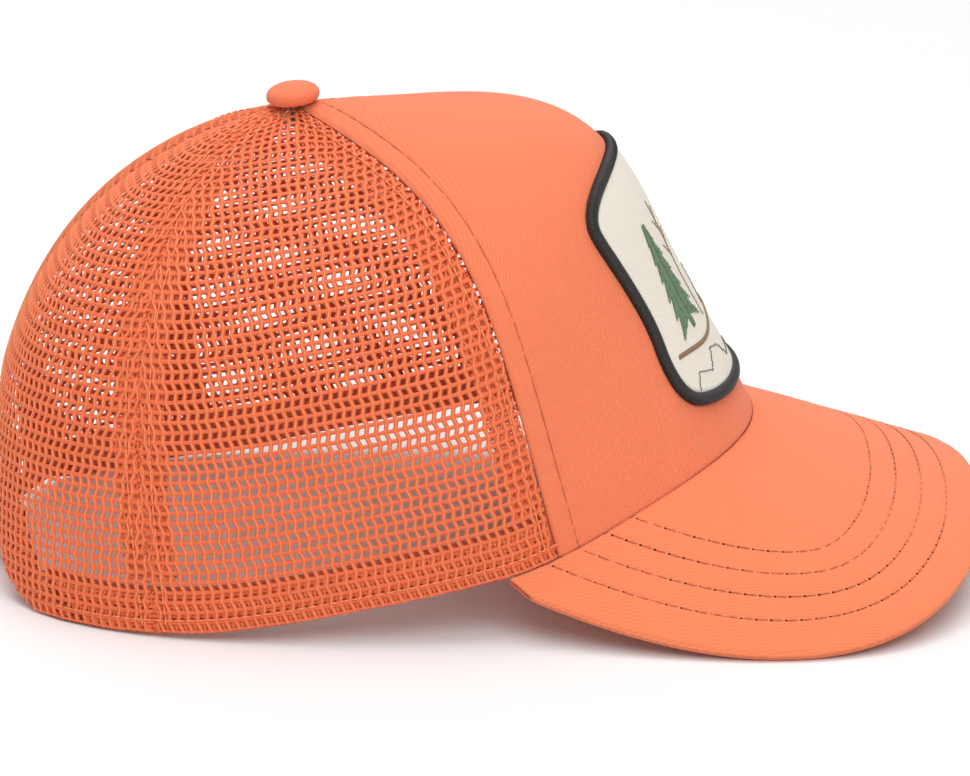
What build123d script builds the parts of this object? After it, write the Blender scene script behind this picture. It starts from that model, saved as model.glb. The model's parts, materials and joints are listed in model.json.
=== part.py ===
from build123d import *
from math import atan2, cos, degrees, exp, hypot, pi, radians, sin, sqrt
import os

# A snapback trucker cap, standing on a flat surface on its rear hem and the two low sides of its visor.
# Millimetres. +X is the way the visor points, +Y is the wearer's left, +Z is up, and the origin is the
# middle of the bottom of the whole cap's box. Every cloth piece is a layer of one of two shaped
# surfaces, the crown's outside and the visor's top, so the layers nest without meeting.

# ---- crown: driving dimensions, in the crown's own leaning frame ----
CROWN_TILT = radians(11.8)        # the cap leans back because the visor props up its front
AXIS_X = -27.5                    # where the crown's axis meets the base plane
AXIS_Z = 9.9
FRONT_REACH = 108.6               # from the axis to the hem at the front
BACK_REACH = 113.9                # from the axis to the hem at the back
HALF_WIDTH = 79.0                 # from the axis to the hem at each side
FRONT_SQUARENESS = 2.05           # superellipse powers of the hem's outline
BACK_SQUARENESS = 2.7
CROWN_HEIGHT = 120.6
FRONT_SHOULDER = (7.0, 0.768, 103.0)   # profile power, reach as a part of the hem's, height
SIDE_SHOULDER = (3.1, 0.938, 87.0)
BACK_SHOULDER = (2.68, 0.779, 113.1)
FRONT_WEIGHT_POWER = 2.0
BACK_WEIGHT_POWER = 0.75
FACE_HOLLOW = 1.95                # how far the front face dips between hem and shoulder
HEM_RISE = 8.5                    # extra rise of the hem over the visor
HEM_ROUNDING = 4.85               # how gently the rear hem turns flat where it rests
REAR_SETTLE = 0.75                # how far the rear hem's weight presses it down
CROWN_TOP = 0.955                 # panels stop here, under the button

# ---- seams, as angles from straight ahead ----
FRONT_SEAM = 55.0
FRONT_SEAM_SWING = 7.6
SIDE_SEAM = 129.6
SIDE_SEAM_SWING = 11.8
SEAM_GAP = 0.12                   # half the gap between two panels

# ---- layers, as depths in from the outside ----
PANEL = (0.0, 0.7)
SECOND_LAYER = (0.8, 1.4)
SWEATBAND = (1.6, 2.8)
LABEL = (2.95, 3.25)
BAND_WIDTH = 10.0                 # seam allowances and arch binding
HEM_BAND_HEIGHT = 11.5
SWEATBAND_HEIGHT = 12.5

# ---- rear arch ----
ARCH_HALF_WIDTH = 36.0
ARCH_HEIGHT = 56.0
ARCH_FLARE = 19.4                 # how far the foot of the arch curls out into the hem
ARCH_FLARE_HEIGHT = 6.8
ARCH_FOOT_ANGLE = 149.0

# ---- visor ----
VISOR_HALF_ANGLE = 67.0
VISOR_SIDE_PULL = (94.6, 108.1, -16.6)  # control points of the rim, from the corner to the tip
VISOR_FRONT_PULL = (138.7, 93.9, 16.7)
VISOR_TIP = (138.7, 0.0, 16.7)
VISOR_END = 0.965                 # the covers stop just short of the pointed ends
BOARD_END = 0.90
BOARD_MARGIN = 3.2                # from the board's edge to the rim
TOP_COVER = (0.0, 0.6)
BOARD = (0.8, 2.3)
UNDER_COVER = (2.5, 3.1)
RIM_MEET = 1.5                    # depth at which the two covers meet at the rim
RIM_ROUND = 0.5

# ---- button ----
BUTTON_RADIUS = 7.3
BUTTON_HEIGHT = 5.2
BUTTON_FOOT = 0.1                 # over the crown's peak
BUTTON_TILT = radians(6.0)        # the button sits flatter than the crown leans
BUTTON_FORWARD = 0.8              # its middle is a little ahead of the crown's axis
BUTTON_SHELL_THICKNESS = 0.5
BUTTON_CLOTH = 0.6
PRONG_RADIUS = 1.6
WASHER_RADIUS = 6.3
WASHER_DROP = 4.2
WASHER_THICKNESS = 0.8

# ---- patch ----
PATCH_LEAN = radians(31.0)        # slope of the front face from upright
PATCH_CENTRE_RISE = 46.0          # up the face, from the hem to the patch's middle
PATCH_BORDER_WIDTH = 3.0
PATCH_HALF_SIZE = 37.0
PATCH_BASE = (-1.1, -0.1)
PATCH_BORDER = (-1.8, -0.1)
EMBROIDERY = (-1.6, -1.15)

# ---- closure straps ----
STRAP_AXIS_X = -35.1              # middle of the arc that the straps follow
STRAP_RADIUS = 101.0
STRAP_THICKNESS = 1.2
STRAP_GAP = 0.2
STRAP_BOTTOM = 3.5
STRAP_TOP = 20.5
STRAP_TIP_ANGLE = 10.2
HINGE_ANGLE = 19.9
HINGE_GAP = 0.3
TAB_END_ANGLE = 26.0
PEG_PITCH_ANGLE = 4.85
PEG_COUNT = 6
PEGS_ENGAGED = 4
PEG_RADIUS = 1.7
PEG_HEIGHT = 1.8
HOLE_RADIUS = 2.35


def smooth_step(x):
    x = min(1.0, max(0.0, x))
    return x * x * (3 - 2 * x)


def front_weight(angle):
    return smooth_step(max(0.0, cos(angle)) ** FRONT_WEIGHT_POWER)


def back_weight(angle):
    return smooth_step(max(0.0, -cos(angle)) ** BACK_WEIGHT_POWER)


def hem_reach(angle):
    """Distance from the axis to the hem, a superellipse that is blunter at the back."""
    reach = FRONT_REACH if cos(angle) > 0 else BACK_REACH
    power = FRONT_SQUARENESS if cos(angle) > 0 else BACK_SQUARENESS
    along = abs(cos(angle) / reach) ** power
    across = abs(sin(angle) / HALF_WIDTH) ** power
    return (along + across) ** (-1 / power)


def shoulder(angle):
    """Profile power, reach and height of the shoulder in this direction."""
    front = front_weight(angle)
    back = back_weight(angle)
    side = 1 - front - back
    return [side * s + front * f + back * b for s, f, b in zip(SIDE_SHOULDER, FRONT_SHOULDER, BACK_SHOULDER)]


def hem_height(angle):
    """Height of the hem in the crown's frame: flat where the rear rests, raised over the visor."""
    level = AXIS_Z + hem_reach(angle) * cos(angle) * sin(CROWN_TILT)
    resting = (level + sqrt(level * level + HEM_ROUNDING ** 2)) / 2 - REAR_SETTLE * back_weight(angle)
    rise = HEM_RISE * smooth_step((cos(angle) - 0.42) / 0.58)
    return (resting - level) / cos(CROWN_TILT) + rise


def crown_point(angle, climb):
    """Point on the crown's outside: angle from straight ahead, climb 0 at the hem to 1 at the button."""
    reach = hem_reach(angle)
    power, inset, height = shoulder(angle)
    inset *= reach
    base = hem_height(angle)
    turn = climb * pi / 2
    size = (abs(cos(turn)) ** power + abs(sin(turn)) ** power) ** (1 / power)
    flat = cos(turn) / size
    rise = sin(turn) / size
    foot = reach + (inset - reach) * base / height
    radius = inset + (foot - inset) * (1 - rise) - inset * (1 - flat)
    radius -= FACE_HOLLOW * front_weight(angle) * sin(pi * min(1.0, rise)) ** 2
    z = height + (base - height) * (1 - rise) + (CROWN_HEIGHT - height) * (1 - flat)
    x = radius * cos(angle)
    y = radius * sin(angle)
    along = AXIS_X + x * cos(CROWN_TILT) - z * sin(CROWN_TILT)
    return Vector(along, y, AXIS_Z + x * sin(CROWN_TILT) + z * cos(CROWN_TILT))


def crown_layer_point(angle, climb, depth):
    """Point at a depth in from the crown's outside, with the angle in degrees."""
    step = 1e-3
    a = radians(angle)
    across = crown_point(a + step, climb) - crown_point(a - step, climb)
    upward = crown_point(a, climb + step) - crown_point(a, max(0.0, climb - step))
    outward = across.cross(upward).normalized()
    return crown_point(a, climb) - outward * depth


def climb_at(angle, height):
    """Climb at which the wall is this high over the hem, with the angle in degrees."""
    power, _, top = shoulder(radians(angle))
    rise = height / (top - hem_height(radians(angle)))
    return atan2(rise, (1 - rise ** power) ** (1 / power)) / (pi / 2)


def front_seam(climb):
    return FRONT_SEAM - FRONT_SEAM_SWING * climb ** 2


def side_seam(climb):
    return SIDE_SEAM + SIDE_SEAM_SWING * climb ** 2


def angle_for(width, climb, angle):
    """Degrees that span this width at this place on the crown."""
    here = crown_point(radians(angle), climb)
    axis = crown_point(0.0, 1.0)
    return degrees(width / (hypot(here.X - axis.X, here.Y) + 0.35 * width))


def rim_point(side):
    """Point on the visor's rim: side -1 at the right corner, 0 at the tip, 1 at the left corner."""
    corner = crown_point(radians(VISOR_HALF_ANGLE), 0.0)
    t = 1 - abs(side)
    weights = ((1 - t) ** 3, 3 * (1 - t) ** 2 * t, 3 * (1 - t) * t * t, t ** 3)
    points = (corner, Vector(VISOR_SIDE_PULL), Vector(VISOR_FRONT_PULL), Vector(VISOR_TIP))
    x = sum(w * p.X for w, p in zip(weights, points))
    y = sum(w * p.Y for w, p in zip(weights, points))
    z = sum(w * p.Z for w, p in zip(weights, points))
    return Vector(x, y if side > 0 else -y, z)


def visor_point(side, out):
    """Point on the visor's top, straight from the hem (out 0) to the rim (out 1)."""
    inner = crown_point(radians(VISOR_HALF_ANGLE * side), 0.0)
    return inner + (rim_point(side) - inner) * out


def visor_layer_point(side, out, depth):
    step = 1e-3
    across = visor_point(side + step, out) - visor_point(side - step, out)
    outward = visor_point(side, out + step) - visor_point(side, out - step)
    upward = outward.cross(across).normalized()
    return visor_point(side, out) - upward * depth


def closed_layer(outer_grid, inner_grid):
    """Solid between two grids of points, with ruled sides."""
    outer = Face.make_surface_from_array_of_points(outer_grid, tol=0.004)
    inner = Face.make_surface_from_array_of_points(inner_grid, tol=0.004)
    faces = [outer, inner]
    for edge in outer.edges():
        twin = min(inner.edges(), key=lambda other: (other.center() - edge.center()).length)
        faces.append(Face.make_surface_from_curves(edge, twin))
    return Solid(Shell(faces))


def crown_layer(left, right, bottom, top, depths, across=14, up=16):
    """Layer of the crown between two edges given as angle(climb), from bottom(angle) to top."""
    grids = []
    for depth in depths:
        grid = []
        for j in range(up + 1):
            row = []
            for i in range(across + 1):
                v = j / up
                foot = bottom(left(0.0) + (right(0.0) - left(0.0)) * i / across)
                climb = foot + (top - foot) * v
                angle = left(climb) + (right(climb) - left(climb)) * i / across
                row.append(crown_layer_point(angle, climb, depth))
            grid.append(row)
        grids.append(grid)
    return closed_layer(*grids)


def hem_strip(start, end, height, depths, across):
    """Strip of even height along the hem, from one angle to another."""
    grids = []
    for depth in depths:
        grid = []
        for j in range(5):
            row = []
            for i in range(across + 1):
                angle = start + (end - start) * i / across
                row.append(crown_layer_point(angle, climb_at(angle, height * j / 4), depth))
            grid.append(row)
        grids.append(grid)
    return closed_layer(*grids)


def at_hem(angle):
    return 0.0


def over_hem_band(angle):
    return climb_at(angle, HEM_BAND_HEIGHT + 0.4)


def mirrored(solid):
    return mirror(solid, about=Plane.XZ)


def arch_half_width(height, margin):
    """Half the rear arch's width at a height over the hem, with a margin all round."""
    top = ARCH_HEIGHT + margin
    body = (ARCH_HALF_WIDTH + margin) * (1 - min(1.0, height / top) ** 2.6) ** (1 / 2.2)
    return body + ARCH_FLARE * exp(-height / (ARCH_FLARE_HEIGHT + margin))


def arch_cutter(margin):
    """Prism that passes through the back of the crown with the arch's outline."""
    steps = 14
    top = ARCH_HEIGHT + margin
    heights = [top * sin(pi / 2 * k / steps) for k in range(steps)]
    right = [(arch_half_width(h, margin), h) for h in heights]
    left = [(-w, h) for w, h in reversed(right)]
    foot = arch_half_width(0.0, margin)
    with BuildSketch(Plane(origin=(-150, 0, 0), x_dir=(0, 1, 0), z_dir=(1, 0, 0))) as outline:
        with BuildLine():
            Spline(*right, (0, top), *left)
            Polyline((-foot, 0), (-foot, -20), (foot, -20), (foot, 0))
        make_face()
    return extrude(outline.sketch, 90)


def crown_panels():
    """Front cloth panel with its stiffener, and the four mesh panels."""
    parts = {}
    parts["front_panel"] = crown_layer(
        lambda t: -front_seam(t), front_seam, at_hem, CROWN_TOP, PANEL, across=24, up=24)
    parts["front_stiffener"] = crown_layer(
        lambda t: -front_seam(t) + 2, lambda t: front_seam(t) - 2, lambda a: 0.015, 0.84, SECOND_LAYER,
        across=24, up=24)
    side_mesh = crown_layer(
        lambda t: front_seam(t) + angle_for(2 * SEAM_GAP, t, front_seam(t)),
        lambda t: side_seam(t) - angle_for(SEAM_GAP, t, side_seam(t)), at_hem, CROWN_TOP, PANEL)
    rear_mesh = crown_layer(
        lambda t: side_seam(t) + angle_for(SEAM_GAP, t, side_seam(t)),
        lambda t: 180 - angle_for(SEAM_GAP, t, 180), at_hem, CROWN_TOP, PANEL)
    rear_mesh = rear_mesh - arch_cutter(0.0)
    parts["side_mesh_left"] = side_mesh
    parts["side_mesh_right"] = mirrored(side_mesh)
    parts["rear_mesh_left"] = rear_mesh
    parts["rear_mesh_right"] = mirrored(rear_mesh)
    return parts


def seam_bands():
    """Turned-in second layers of mesh behind each seam, the hem and the rear arch."""
    parts = {}
    top = 0.84

    def beside_front_seam(t):
        return front_seam(t) + angle_for(0.6, t, front_seam(t))

    def far_side_of_front_band(t):
        return front_seam(t) + angle_for(BAND_WIDTH, t, front_seam(t))

    front_band = crown_layer(
        beside_front_seam, far_side_of_front_band, over_hem_band, top, SECOND_LAYER, across=5)
    side_band = crown_layer(
        lambda t: side_seam(t) - angle_for(0.75 * BAND_WIDTH, t, side_seam(t)),
        lambda t: side_seam(t) + angle_for(0.75 * BAND_WIDTH, t, side_seam(t)),
        over_hem_band, top, SECOND_LAYER, across=6)
    rear_foot = climb_at(180, ARCH_HEIGHT + BAND_WIDTH + 3)
    rear_band = crown_layer(
        lambda t: 180 - angle_for(0.7 * BAND_WIDTH, t, 180),
        lambda t: 180 + angle_for(0.7 * BAND_WIDTH, t, 180),
        lambda a: rear_foot, top, SECOND_LAYER, across=6)
    hem_band = hem_strip(
        front_seam(0.0) + 1.0, ARCH_FOOT_ANGLE - 3, HEM_BAND_HEIGHT, SECOND_LAYER, across=40)
    hem_band = hem_band - arch_cutter(BAND_WIDTH + 0.4)
    binding = crown_layer(
        lambda t: ARCH_FOOT_ANGLE - 9, lambda t: 360 - ARCH_FOOT_ANGLE + 9, at_hem,
        climb_at(180, ARCH_HEIGHT + BAND_WIDTH + 2), SECOND_LAYER, across=24)
    binding = (binding & arch_cutter(BAND_WIDTH)) - arch_cutter(0.0)
    parts["front_seam_band_left"] = front_band
    parts["front_seam_band_right"] = mirrored(front_band)
    parts["side_seam_band_left"] = side_band
    parts["side_seam_band_right"] = mirrored(side_band)
    parts["rear_seam_band"] = rear_band
    parts["hem_band_left"] = hem_band
    parts["hem_band_right"] = mirrored(hem_band)
    parts["arch_binding"] = binding
    return parts


def inner_trim():
    """Sweatband round the inside of the hem, and the two blank labels sewn to it."""
    parts = {}
    reach = ARCH_FOOT_ANGLE - 1
    parts["sweatband"] = hem_strip(-reach, reach, SWEATBAND_HEIGHT, SWEATBAND, across=90)
    parts["care_label"] = label(-118, -100, 1.5, SWEATBAND_HEIGHT - 1)
    parts["size_label"] = label(-134, -124, 1.2, SWEATBAND_HEIGHT - 1.1)
    return parts


def label(start, end, low, high):
    """Blank ribbon label on the sweatband between two angles and two heights."""
    grids = []
    for depth in LABEL:
        grid = []
        for j in range(4):
            height = low + (high - low) * j / 3
            row = []
            for i in range(7):
                angle = start + (end - start) * i / 6
                row.append(crown_layer_point(angle, climb_at(angle, height), depth))
            grid.append(row)
        grids.append(grid)
    return closed_layer(*grids)


def visor_layer(end, margin, upper, lower, across=44, outs=10):
    """Layer of the visor, where upper and lower give a depth for a distance in from the rim."""
    grids = []
    for depth_at in (upper, lower):
        grid = []
        for i in range(across + 1):
            side = end * (-1 + 2 * i / across)
            length = (rim_point(side) - visor_point(side, 0.0)).length
            last = 1 - margin / length
            row = []
            for j in range(outs + 1):
                out = 0.7 / length + (last - 0.7 / length) * (1 - (1 - j / outs) ** 1.5)
                row.append(visor_layer_point(side, out, depth_at((1 - out) * length)))
            grid.append(row)
        grids.append(grid)
    return closed_layer(*grids)


def visor_parts():
    """Stiff board between a top and an under cover, which meet round the rim."""
    def closing(from_rim):
        return 1 - smooth_step(from_rim / (BOARD_MARGIN - 0.4))

    def top_upper(from_rim):
        return TOP_COVER[0] + RIM_ROUND * closing(from_rim)

    def top_lower(from_rim):
        return TOP_COVER[1] + (RIM_MEET - 0.05 - TOP_COVER[1]) * closing(from_rim)

    def under_upper(from_rim):
        return UNDER_COVER[0] + (RIM_MEET + 0.05 - UNDER_COVER[0]) * closing(from_rim)

    def under_lower(from_rim):
        return UNDER_COVER[1] - RIM_ROUND * closing(from_rim)

    parts = {}
    parts["visor_top_cover"] = visor_layer(VISOR_END, 0.0, top_upper, top_lower, outs=16)
    parts["visor_board"] = visor_layer(BOARD_END, BOARD_MARGIN, lambda d: BOARD[0], lambda d: BOARD[1])
    parts["visor_under_cover"] = visor_layer(VISOR_END, 0.0, under_upper, under_lower, outs=16)
    return parts


def button_plane():
    """Plane that the button stands on, at the crown's peak."""
    top = crown_point(0.0, 1.0) + Vector(BUTTON_FORWARD, 0, 0)
    across = (cos(BUTTON_TILT), 0, sin(BUTTON_TILT))
    upward = (-sin(BUTTON_TILT), 0, cos(BUTTON_TILT))
    return Plane(origin=top, x_dir=across, z_dir=upward)


def dome(scale):
    """Flattened dome on the button's own axis, at a scale of the whole button."""
    radius = BUTTON_RADIUS * scale
    height = BUTTON_HEIGHT * scale
    foot = BUTTON_FOOT
    with BuildPart() as body:
        with BuildSketch(Plane.XZ):
            with BuildLine():
                Line((0, foot), (radius * 0.86, foot))
                Spline(
                    (radius * 0.86, foot), (radius, foot + 0.33 * height),
                    (0.72 * radius, foot + 0.83 * height), (0, foot + height), tangents=((1, 0.5), (-1, 0)))
                Line((0, foot + height), (0, foot))
            make_face()
        revolve(axis=Axis.Z)
    return body.part


def button_parts():
    """Covered button: cloth over a metal shell, and a pronged washer inside the crown."""
    place = button_plane().location
    shell_scale = 1 - (BUTTON_CLOTH + 0.1) / BUTTON_HEIGHT
    hollow_scale = 1 - (BUTTON_CLOTH + 0.1 + BUTTON_SHELL_THICKNESS) / BUTTON_HEIGHT
    cloth = dome(1.0) - dome(1 - BUTTON_CLOTH / BUTTON_HEIGHT)
    shell = dome(shell_scale) - dome(hollow_scale)
    prong_length = WASHER_DROP + BUTTON_FOOT + hollow_scale * BUTTON_HEIGHT - 0.3
    prong = Pos(0, 0, -WASHER_DROP) * Cylinder(
        PRONG_RADIUS, prong_length, align=(Align.CENTER, Align.CENTER, Align.MIN))
    washer = Pos(0, 0, -WASHER_DROP - WASHER_THICKNESS) * Cylinder(
        WASHER_RADIUS, WASHER_THICKNESS, align=(Align.CENTER, Align.CENTER, Align.MIN))
    return {
        "button_cover": place * cloth,
        "button_shell": place * shell,
        "button_washer": place * (prong + washer),
    }


def patch_plane():
    """Plane on the front face: its x runs to the wearer's left and its y runs up the slope."""
    hem = crown_point(0.0, 0.0)
    up = Vector(-sin(PATCH_LEAN), 0, cos(PATCH_LEAN))
    outward = (cos(PATCH_LEAN), 0, sin(PATCH_LEAN))
    return Plane(origin=hem + up * PATCH_CENTRE_RISE, x_dir=(0, 1, 0), z_dir=outward)


def face_layer(depths):
    """Layer of the crown's front face, wide enough for the patch."""
    return crown_layer(lambda t: -40.0, lambda t: 40.0, lambda a: 0.02, 0.56, depths, across=26, up=26)


def patch_prism(inset):
    """Prism of the patch's outline: a rounded shield with blunt corners."""
    scale = 1 - inset / PATCH_HALF_SIZE
    shape = [
        (0, 39.9), (12.0, 39.9), (22.0, 39.0), (28.9, 37.4), (33.4, 35.0), (36.0, 31.6), (36.5, 26.8),
        (36.0, 20.0), (35.2, 11.0), (34.9, 2.0), (35.6, -5.0), (36.9, -11.0), (37.5, -17.0),
        (36.8, -22.5), (34.0, -27.0), (27.4, -30.6), (18.2, -33.0), (8.0, -34.0), (0, -34.2)]
    right = [(x * scale, y * scale) for x, y in shape]
    left = [(-x, y) for x, y in right]
    with BuildSketch(patch_plane()) as outline:
        with BuildLine():
            Spline(*right, tangents=((1, 0), (-1, 0)))
            Spline(*left, tangents=((-1, 0), (1, 0)))
        make_face()
    return extrude(outline.sketch, 22, both=True)


def fir_tree_prism():
    """Prism of a stylised fir tree near the patch's right edge."""
    centre = -17.0
    foot = -12.0
    tiers = 6
    right = []
    for tier in range(tiers):
        low = foot + 4.0 + tier * 4.6
        reach = 7.2 * (1 - tier / (tiers + 0.5))
        right.append((centre + reach, low))
        right.append((centre + 0.5 * reach, low + 2.4))
    tip = (centre, foot + 4.0 + tiers * 4.6 + 1.0)
    left = [(2 * centre - x, y) for x, y in reversed(right)]
    trunk = [
        (centre - 0.9, foot + 4.0), (centre - 0.9, foot), (centre + 0.9, foot), (centre + 0.9, foot + 4.0)]
    with BuildSketch(patch_plane()) as outline:
        with BuildLine():
            Polyline(*right, tip, *left, *trunk, close=True)
        make_face()
    return extrude(outline.sketch, 22, both=True)


def hill_prism():
    """Prism of a rolling band of hills across the patch."""
    steps = 12
    upper = []
    lower = []
    for k in range(steps + 1):
        x = -31.0 + 62.0 * k / steps
        crest = -14.5 + 2.2 * sin(x / 8.0)
        upper.append((x, crest))
        lower.append((x, crest - 1.2))
    with BuildSketch(patch_plane()) as outline:
        with BuildLine():
            Spline(*upper)
            Spline(*lower)
            Line(upper[0], lower[0])
            Line(upper[-1], lower[-1])
        make_face()
    return extrude(outline.sketch, 22, both=True)


def patch_parts():
    """Woven patch with a raised overlocked border and two pieces of raised embroidery."""
    return {
        "patch_base": face_layer(PATCH_BASE) & patch_prism(PATCH_BORDER_WIDTH + 0.1),
        "patch_border": face_layer(PATCH_BORDER) & (patch_prism(0) - patch_prism(PATCH_BORDER_WIDTH)),
        "patch_fir_tree": face_layer(EMBROIDERY) & fir_tree_prism(),
        "patch_hill_line": face_layer(EMBROIDERY) & (hill_prism() - fir_tree_prism()),
    }


def strap_sector(outer_radius, start, end):
    """Upright curved strip between two angles from straight back, positive to the wearer's left."""
    inner_radius = outer_radius - STRAP_THICKNESS

    def place(radius, angle):
        a = radians(angle)
        return (STRAP_AXIS_X - radius * cos(a), radius * sin(a))

    middle = (start + end) / 2
    with BuildSketch(Plane.XY.offset(STRAP_BOTTOM)) as outline:
        with BuildLine():
            ThreePointArc(place(outer_radius, start), place(outer_radius, middle), place(outer_radius, end))
            Line(place(outer_radius, end), place(inner_radius, end))
            ThreePointArc(place(inner_radius, end), place(inner_radius, middle), place(inner_radius, start))
            Line(place(inner_radius, start), place(outer_radius, start))
        make_face()
    return extrude(outline.sketch, STRAP_TOP - STRAP_BOTTOM)


def strap_pin(angle, radius, from_radius, to_radius):
    """Round pin that points straight out of the strap's arc."""
    a = radians(angle)
    outward = (-cos(a), sin(a), 0)
    start = (STRAP_AXIS_X - from_radius * cos(a), from_radius * sin(a), (STRAP_BOTTOM + STRAP_TOP) / 2)
    base = Plane(origin=start, z_dir=outward)
    return base.location * Cylinder(
        radius, to_radius - from_radius, align=(Align.CENTER, Align.CENTER, Align.MIN))


def strap_parts():
    """Snap closure: a strap with holes on the left, over a strap with pegs on the right."""
    hole_outer = STRAP_RADIUS
    stud_outer = STRAP_RADIUS - STRAP_THICKNESS - STRAP_GAP
    hole_strap = strap_sector(hole_outer, -STRAP_TIP_ANGLE, HINGE_ANGLE - HINGE_GAP)
    stud_strap = strap_sector(stud_outer, -HINGE_ANGLE + HINGE_GAP, STRAP_TIP_ANGLE)
    for k in range(PEG_COUNT):
        peg_angle = ((PEGS_ENGAGED - 1) / 2 - k) * PEG_PITCH_ANGLE
        hole = strap_pin(-peg_angle, HOLE_RADIUS, hole_outer - STRAP_THICKNESS - 2, hole_outer + 2)
        peg = strap_pin(peg_angle, PEG_RADIUS, stud_outer - 0.5, stud_outer + PEG_HEIGHT)
        hole_strap = hole_strap - hole
        stud_strap = stud_strap + peg
    return {
        "hole_strap": hole_strap,
        "stud_strap": stud_strap,
        "hole_strap_tab": strap_sector(hole_outer, HINGE_ANGLE + HINGE_GAP, TAB_END_ANGLE),
        "stud_strap_tab": strap_sector(stud_outer, -TAB_END_ANGLE, -HINGE_ANGLE - HINGE_GAP),
    }


os.makedirs("parts", exist_ok=True)
all_parts = {
    **crown_panels(),
    **seam_bands(),
    **inner_trim(),
    **visor_parts(),
    **button_parts(),
    **patch_parts(),
    **strap_parts(),
}
for name, solid in all_parts.items():
    export_step(solid, f"parts/{name}.step")
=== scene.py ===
import bmesh
import bpy
import json
import numpy as np
from math import cos, pi, radians, sin
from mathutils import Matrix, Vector

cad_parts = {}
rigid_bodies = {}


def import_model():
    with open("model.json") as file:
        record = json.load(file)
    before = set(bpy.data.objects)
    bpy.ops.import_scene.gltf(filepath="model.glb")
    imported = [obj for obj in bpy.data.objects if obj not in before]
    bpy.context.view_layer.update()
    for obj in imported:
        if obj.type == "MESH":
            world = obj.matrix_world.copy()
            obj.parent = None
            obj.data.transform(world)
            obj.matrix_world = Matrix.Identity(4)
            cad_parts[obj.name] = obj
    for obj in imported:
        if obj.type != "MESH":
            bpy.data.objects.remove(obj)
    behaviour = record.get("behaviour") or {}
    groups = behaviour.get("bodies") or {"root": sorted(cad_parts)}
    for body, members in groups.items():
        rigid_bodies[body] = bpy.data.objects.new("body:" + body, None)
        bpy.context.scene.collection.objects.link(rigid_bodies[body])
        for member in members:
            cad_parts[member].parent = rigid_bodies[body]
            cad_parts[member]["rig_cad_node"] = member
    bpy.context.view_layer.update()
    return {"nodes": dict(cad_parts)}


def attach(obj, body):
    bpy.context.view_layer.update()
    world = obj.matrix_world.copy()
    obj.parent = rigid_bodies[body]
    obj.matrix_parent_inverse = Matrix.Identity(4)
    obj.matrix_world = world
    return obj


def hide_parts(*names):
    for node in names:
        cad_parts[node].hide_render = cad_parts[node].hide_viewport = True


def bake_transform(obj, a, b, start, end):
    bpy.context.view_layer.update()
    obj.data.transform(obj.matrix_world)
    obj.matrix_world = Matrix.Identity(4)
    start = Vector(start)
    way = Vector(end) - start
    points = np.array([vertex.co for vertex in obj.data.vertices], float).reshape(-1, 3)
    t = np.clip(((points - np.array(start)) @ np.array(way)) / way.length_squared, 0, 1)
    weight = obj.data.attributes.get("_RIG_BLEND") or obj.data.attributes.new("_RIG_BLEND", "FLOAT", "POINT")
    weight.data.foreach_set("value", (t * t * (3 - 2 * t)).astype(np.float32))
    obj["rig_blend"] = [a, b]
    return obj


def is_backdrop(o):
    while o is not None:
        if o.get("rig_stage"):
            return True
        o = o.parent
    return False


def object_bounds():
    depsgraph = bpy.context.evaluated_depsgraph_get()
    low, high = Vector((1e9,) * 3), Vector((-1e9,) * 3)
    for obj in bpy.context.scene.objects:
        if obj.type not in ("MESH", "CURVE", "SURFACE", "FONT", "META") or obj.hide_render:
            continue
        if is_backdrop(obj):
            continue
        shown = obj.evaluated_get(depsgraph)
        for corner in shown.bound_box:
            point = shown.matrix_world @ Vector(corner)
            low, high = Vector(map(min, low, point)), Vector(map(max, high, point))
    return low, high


# A snapback trucker cap: cotton front and visor, open knit back, embroidered patch and a snap strap.
# Lengths below are millimetres and angles are degrees; MM turns them into the frame's metres.
# Every cloth piece is laid on one of two shaped surfaces, the crown's outside and the visor's top.

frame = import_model()
MM = 0.001

# ---- crown surface, as the CAD has it ----
CROWN_TILT = radians(11.8)
AXIS_X = -27.5
AXIS_Z = 9.9
FRONT_REACH = 108.6
BACK_REACH = 113.9
HALF_WIDTH = 79.0
FRONT_SQUARENESS = 2.05
BACK_SQUARENESS = 2.7
CROWN_HEIGHT = 120.6
FRONT_SHOULDER = (7.0, 0.768, 103.0)
SIDE_SHOULDER = (3.1, 0.938, 87.0)
BACK_SHOULDER = (2.68, 0.779, 113.1)
FRONT_WEIGHT_POWER = 2.0
BACK_WEIGHT_POWER = 0.75
FACE_HOLLOW = 1.95
HEM_RISE = 8.5
HEM_ROUNDING = 4.85
REAR_SETTLE = 0.75
FRONT_SEAM = 55.0
FRONT_SEAM_SWING = 7.6
SIDE_SEAM = 129.6
SIDE_SEAM_SWING = 11.8
BAND_WIDTH = 10.0
BAND_TOP = 0.84
HEM_BAND_HEIGHT = 11.5
SWEATBAND_HEIGHT = 12.5
ARCH_HALF_WIDTH = 36.0
ARCH_HEIGHT = 56.0
ARCH_FLARE = 19.4
ARCH_FLARE_HEIGHT = 6.8
ARCH_FOOT_ANGLE = 149.0

# ---- visor surface ----
VISOR_HALF_ANGLE = 67.0
VISOR_SIDE_PULL = (94.6, 108.1, -16.6)
VISOR_FRONT_PULL = (138.7, 93.9, 16.7)
VISOR_TIP = (138.7, 0.0, 16.7)
VISOR_END = 0.965
RIM_CLOSING = 2.8
STITCH_ROWS = (10.8, 18.3, 25.8, 33.3)  # square in from the rim

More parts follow.
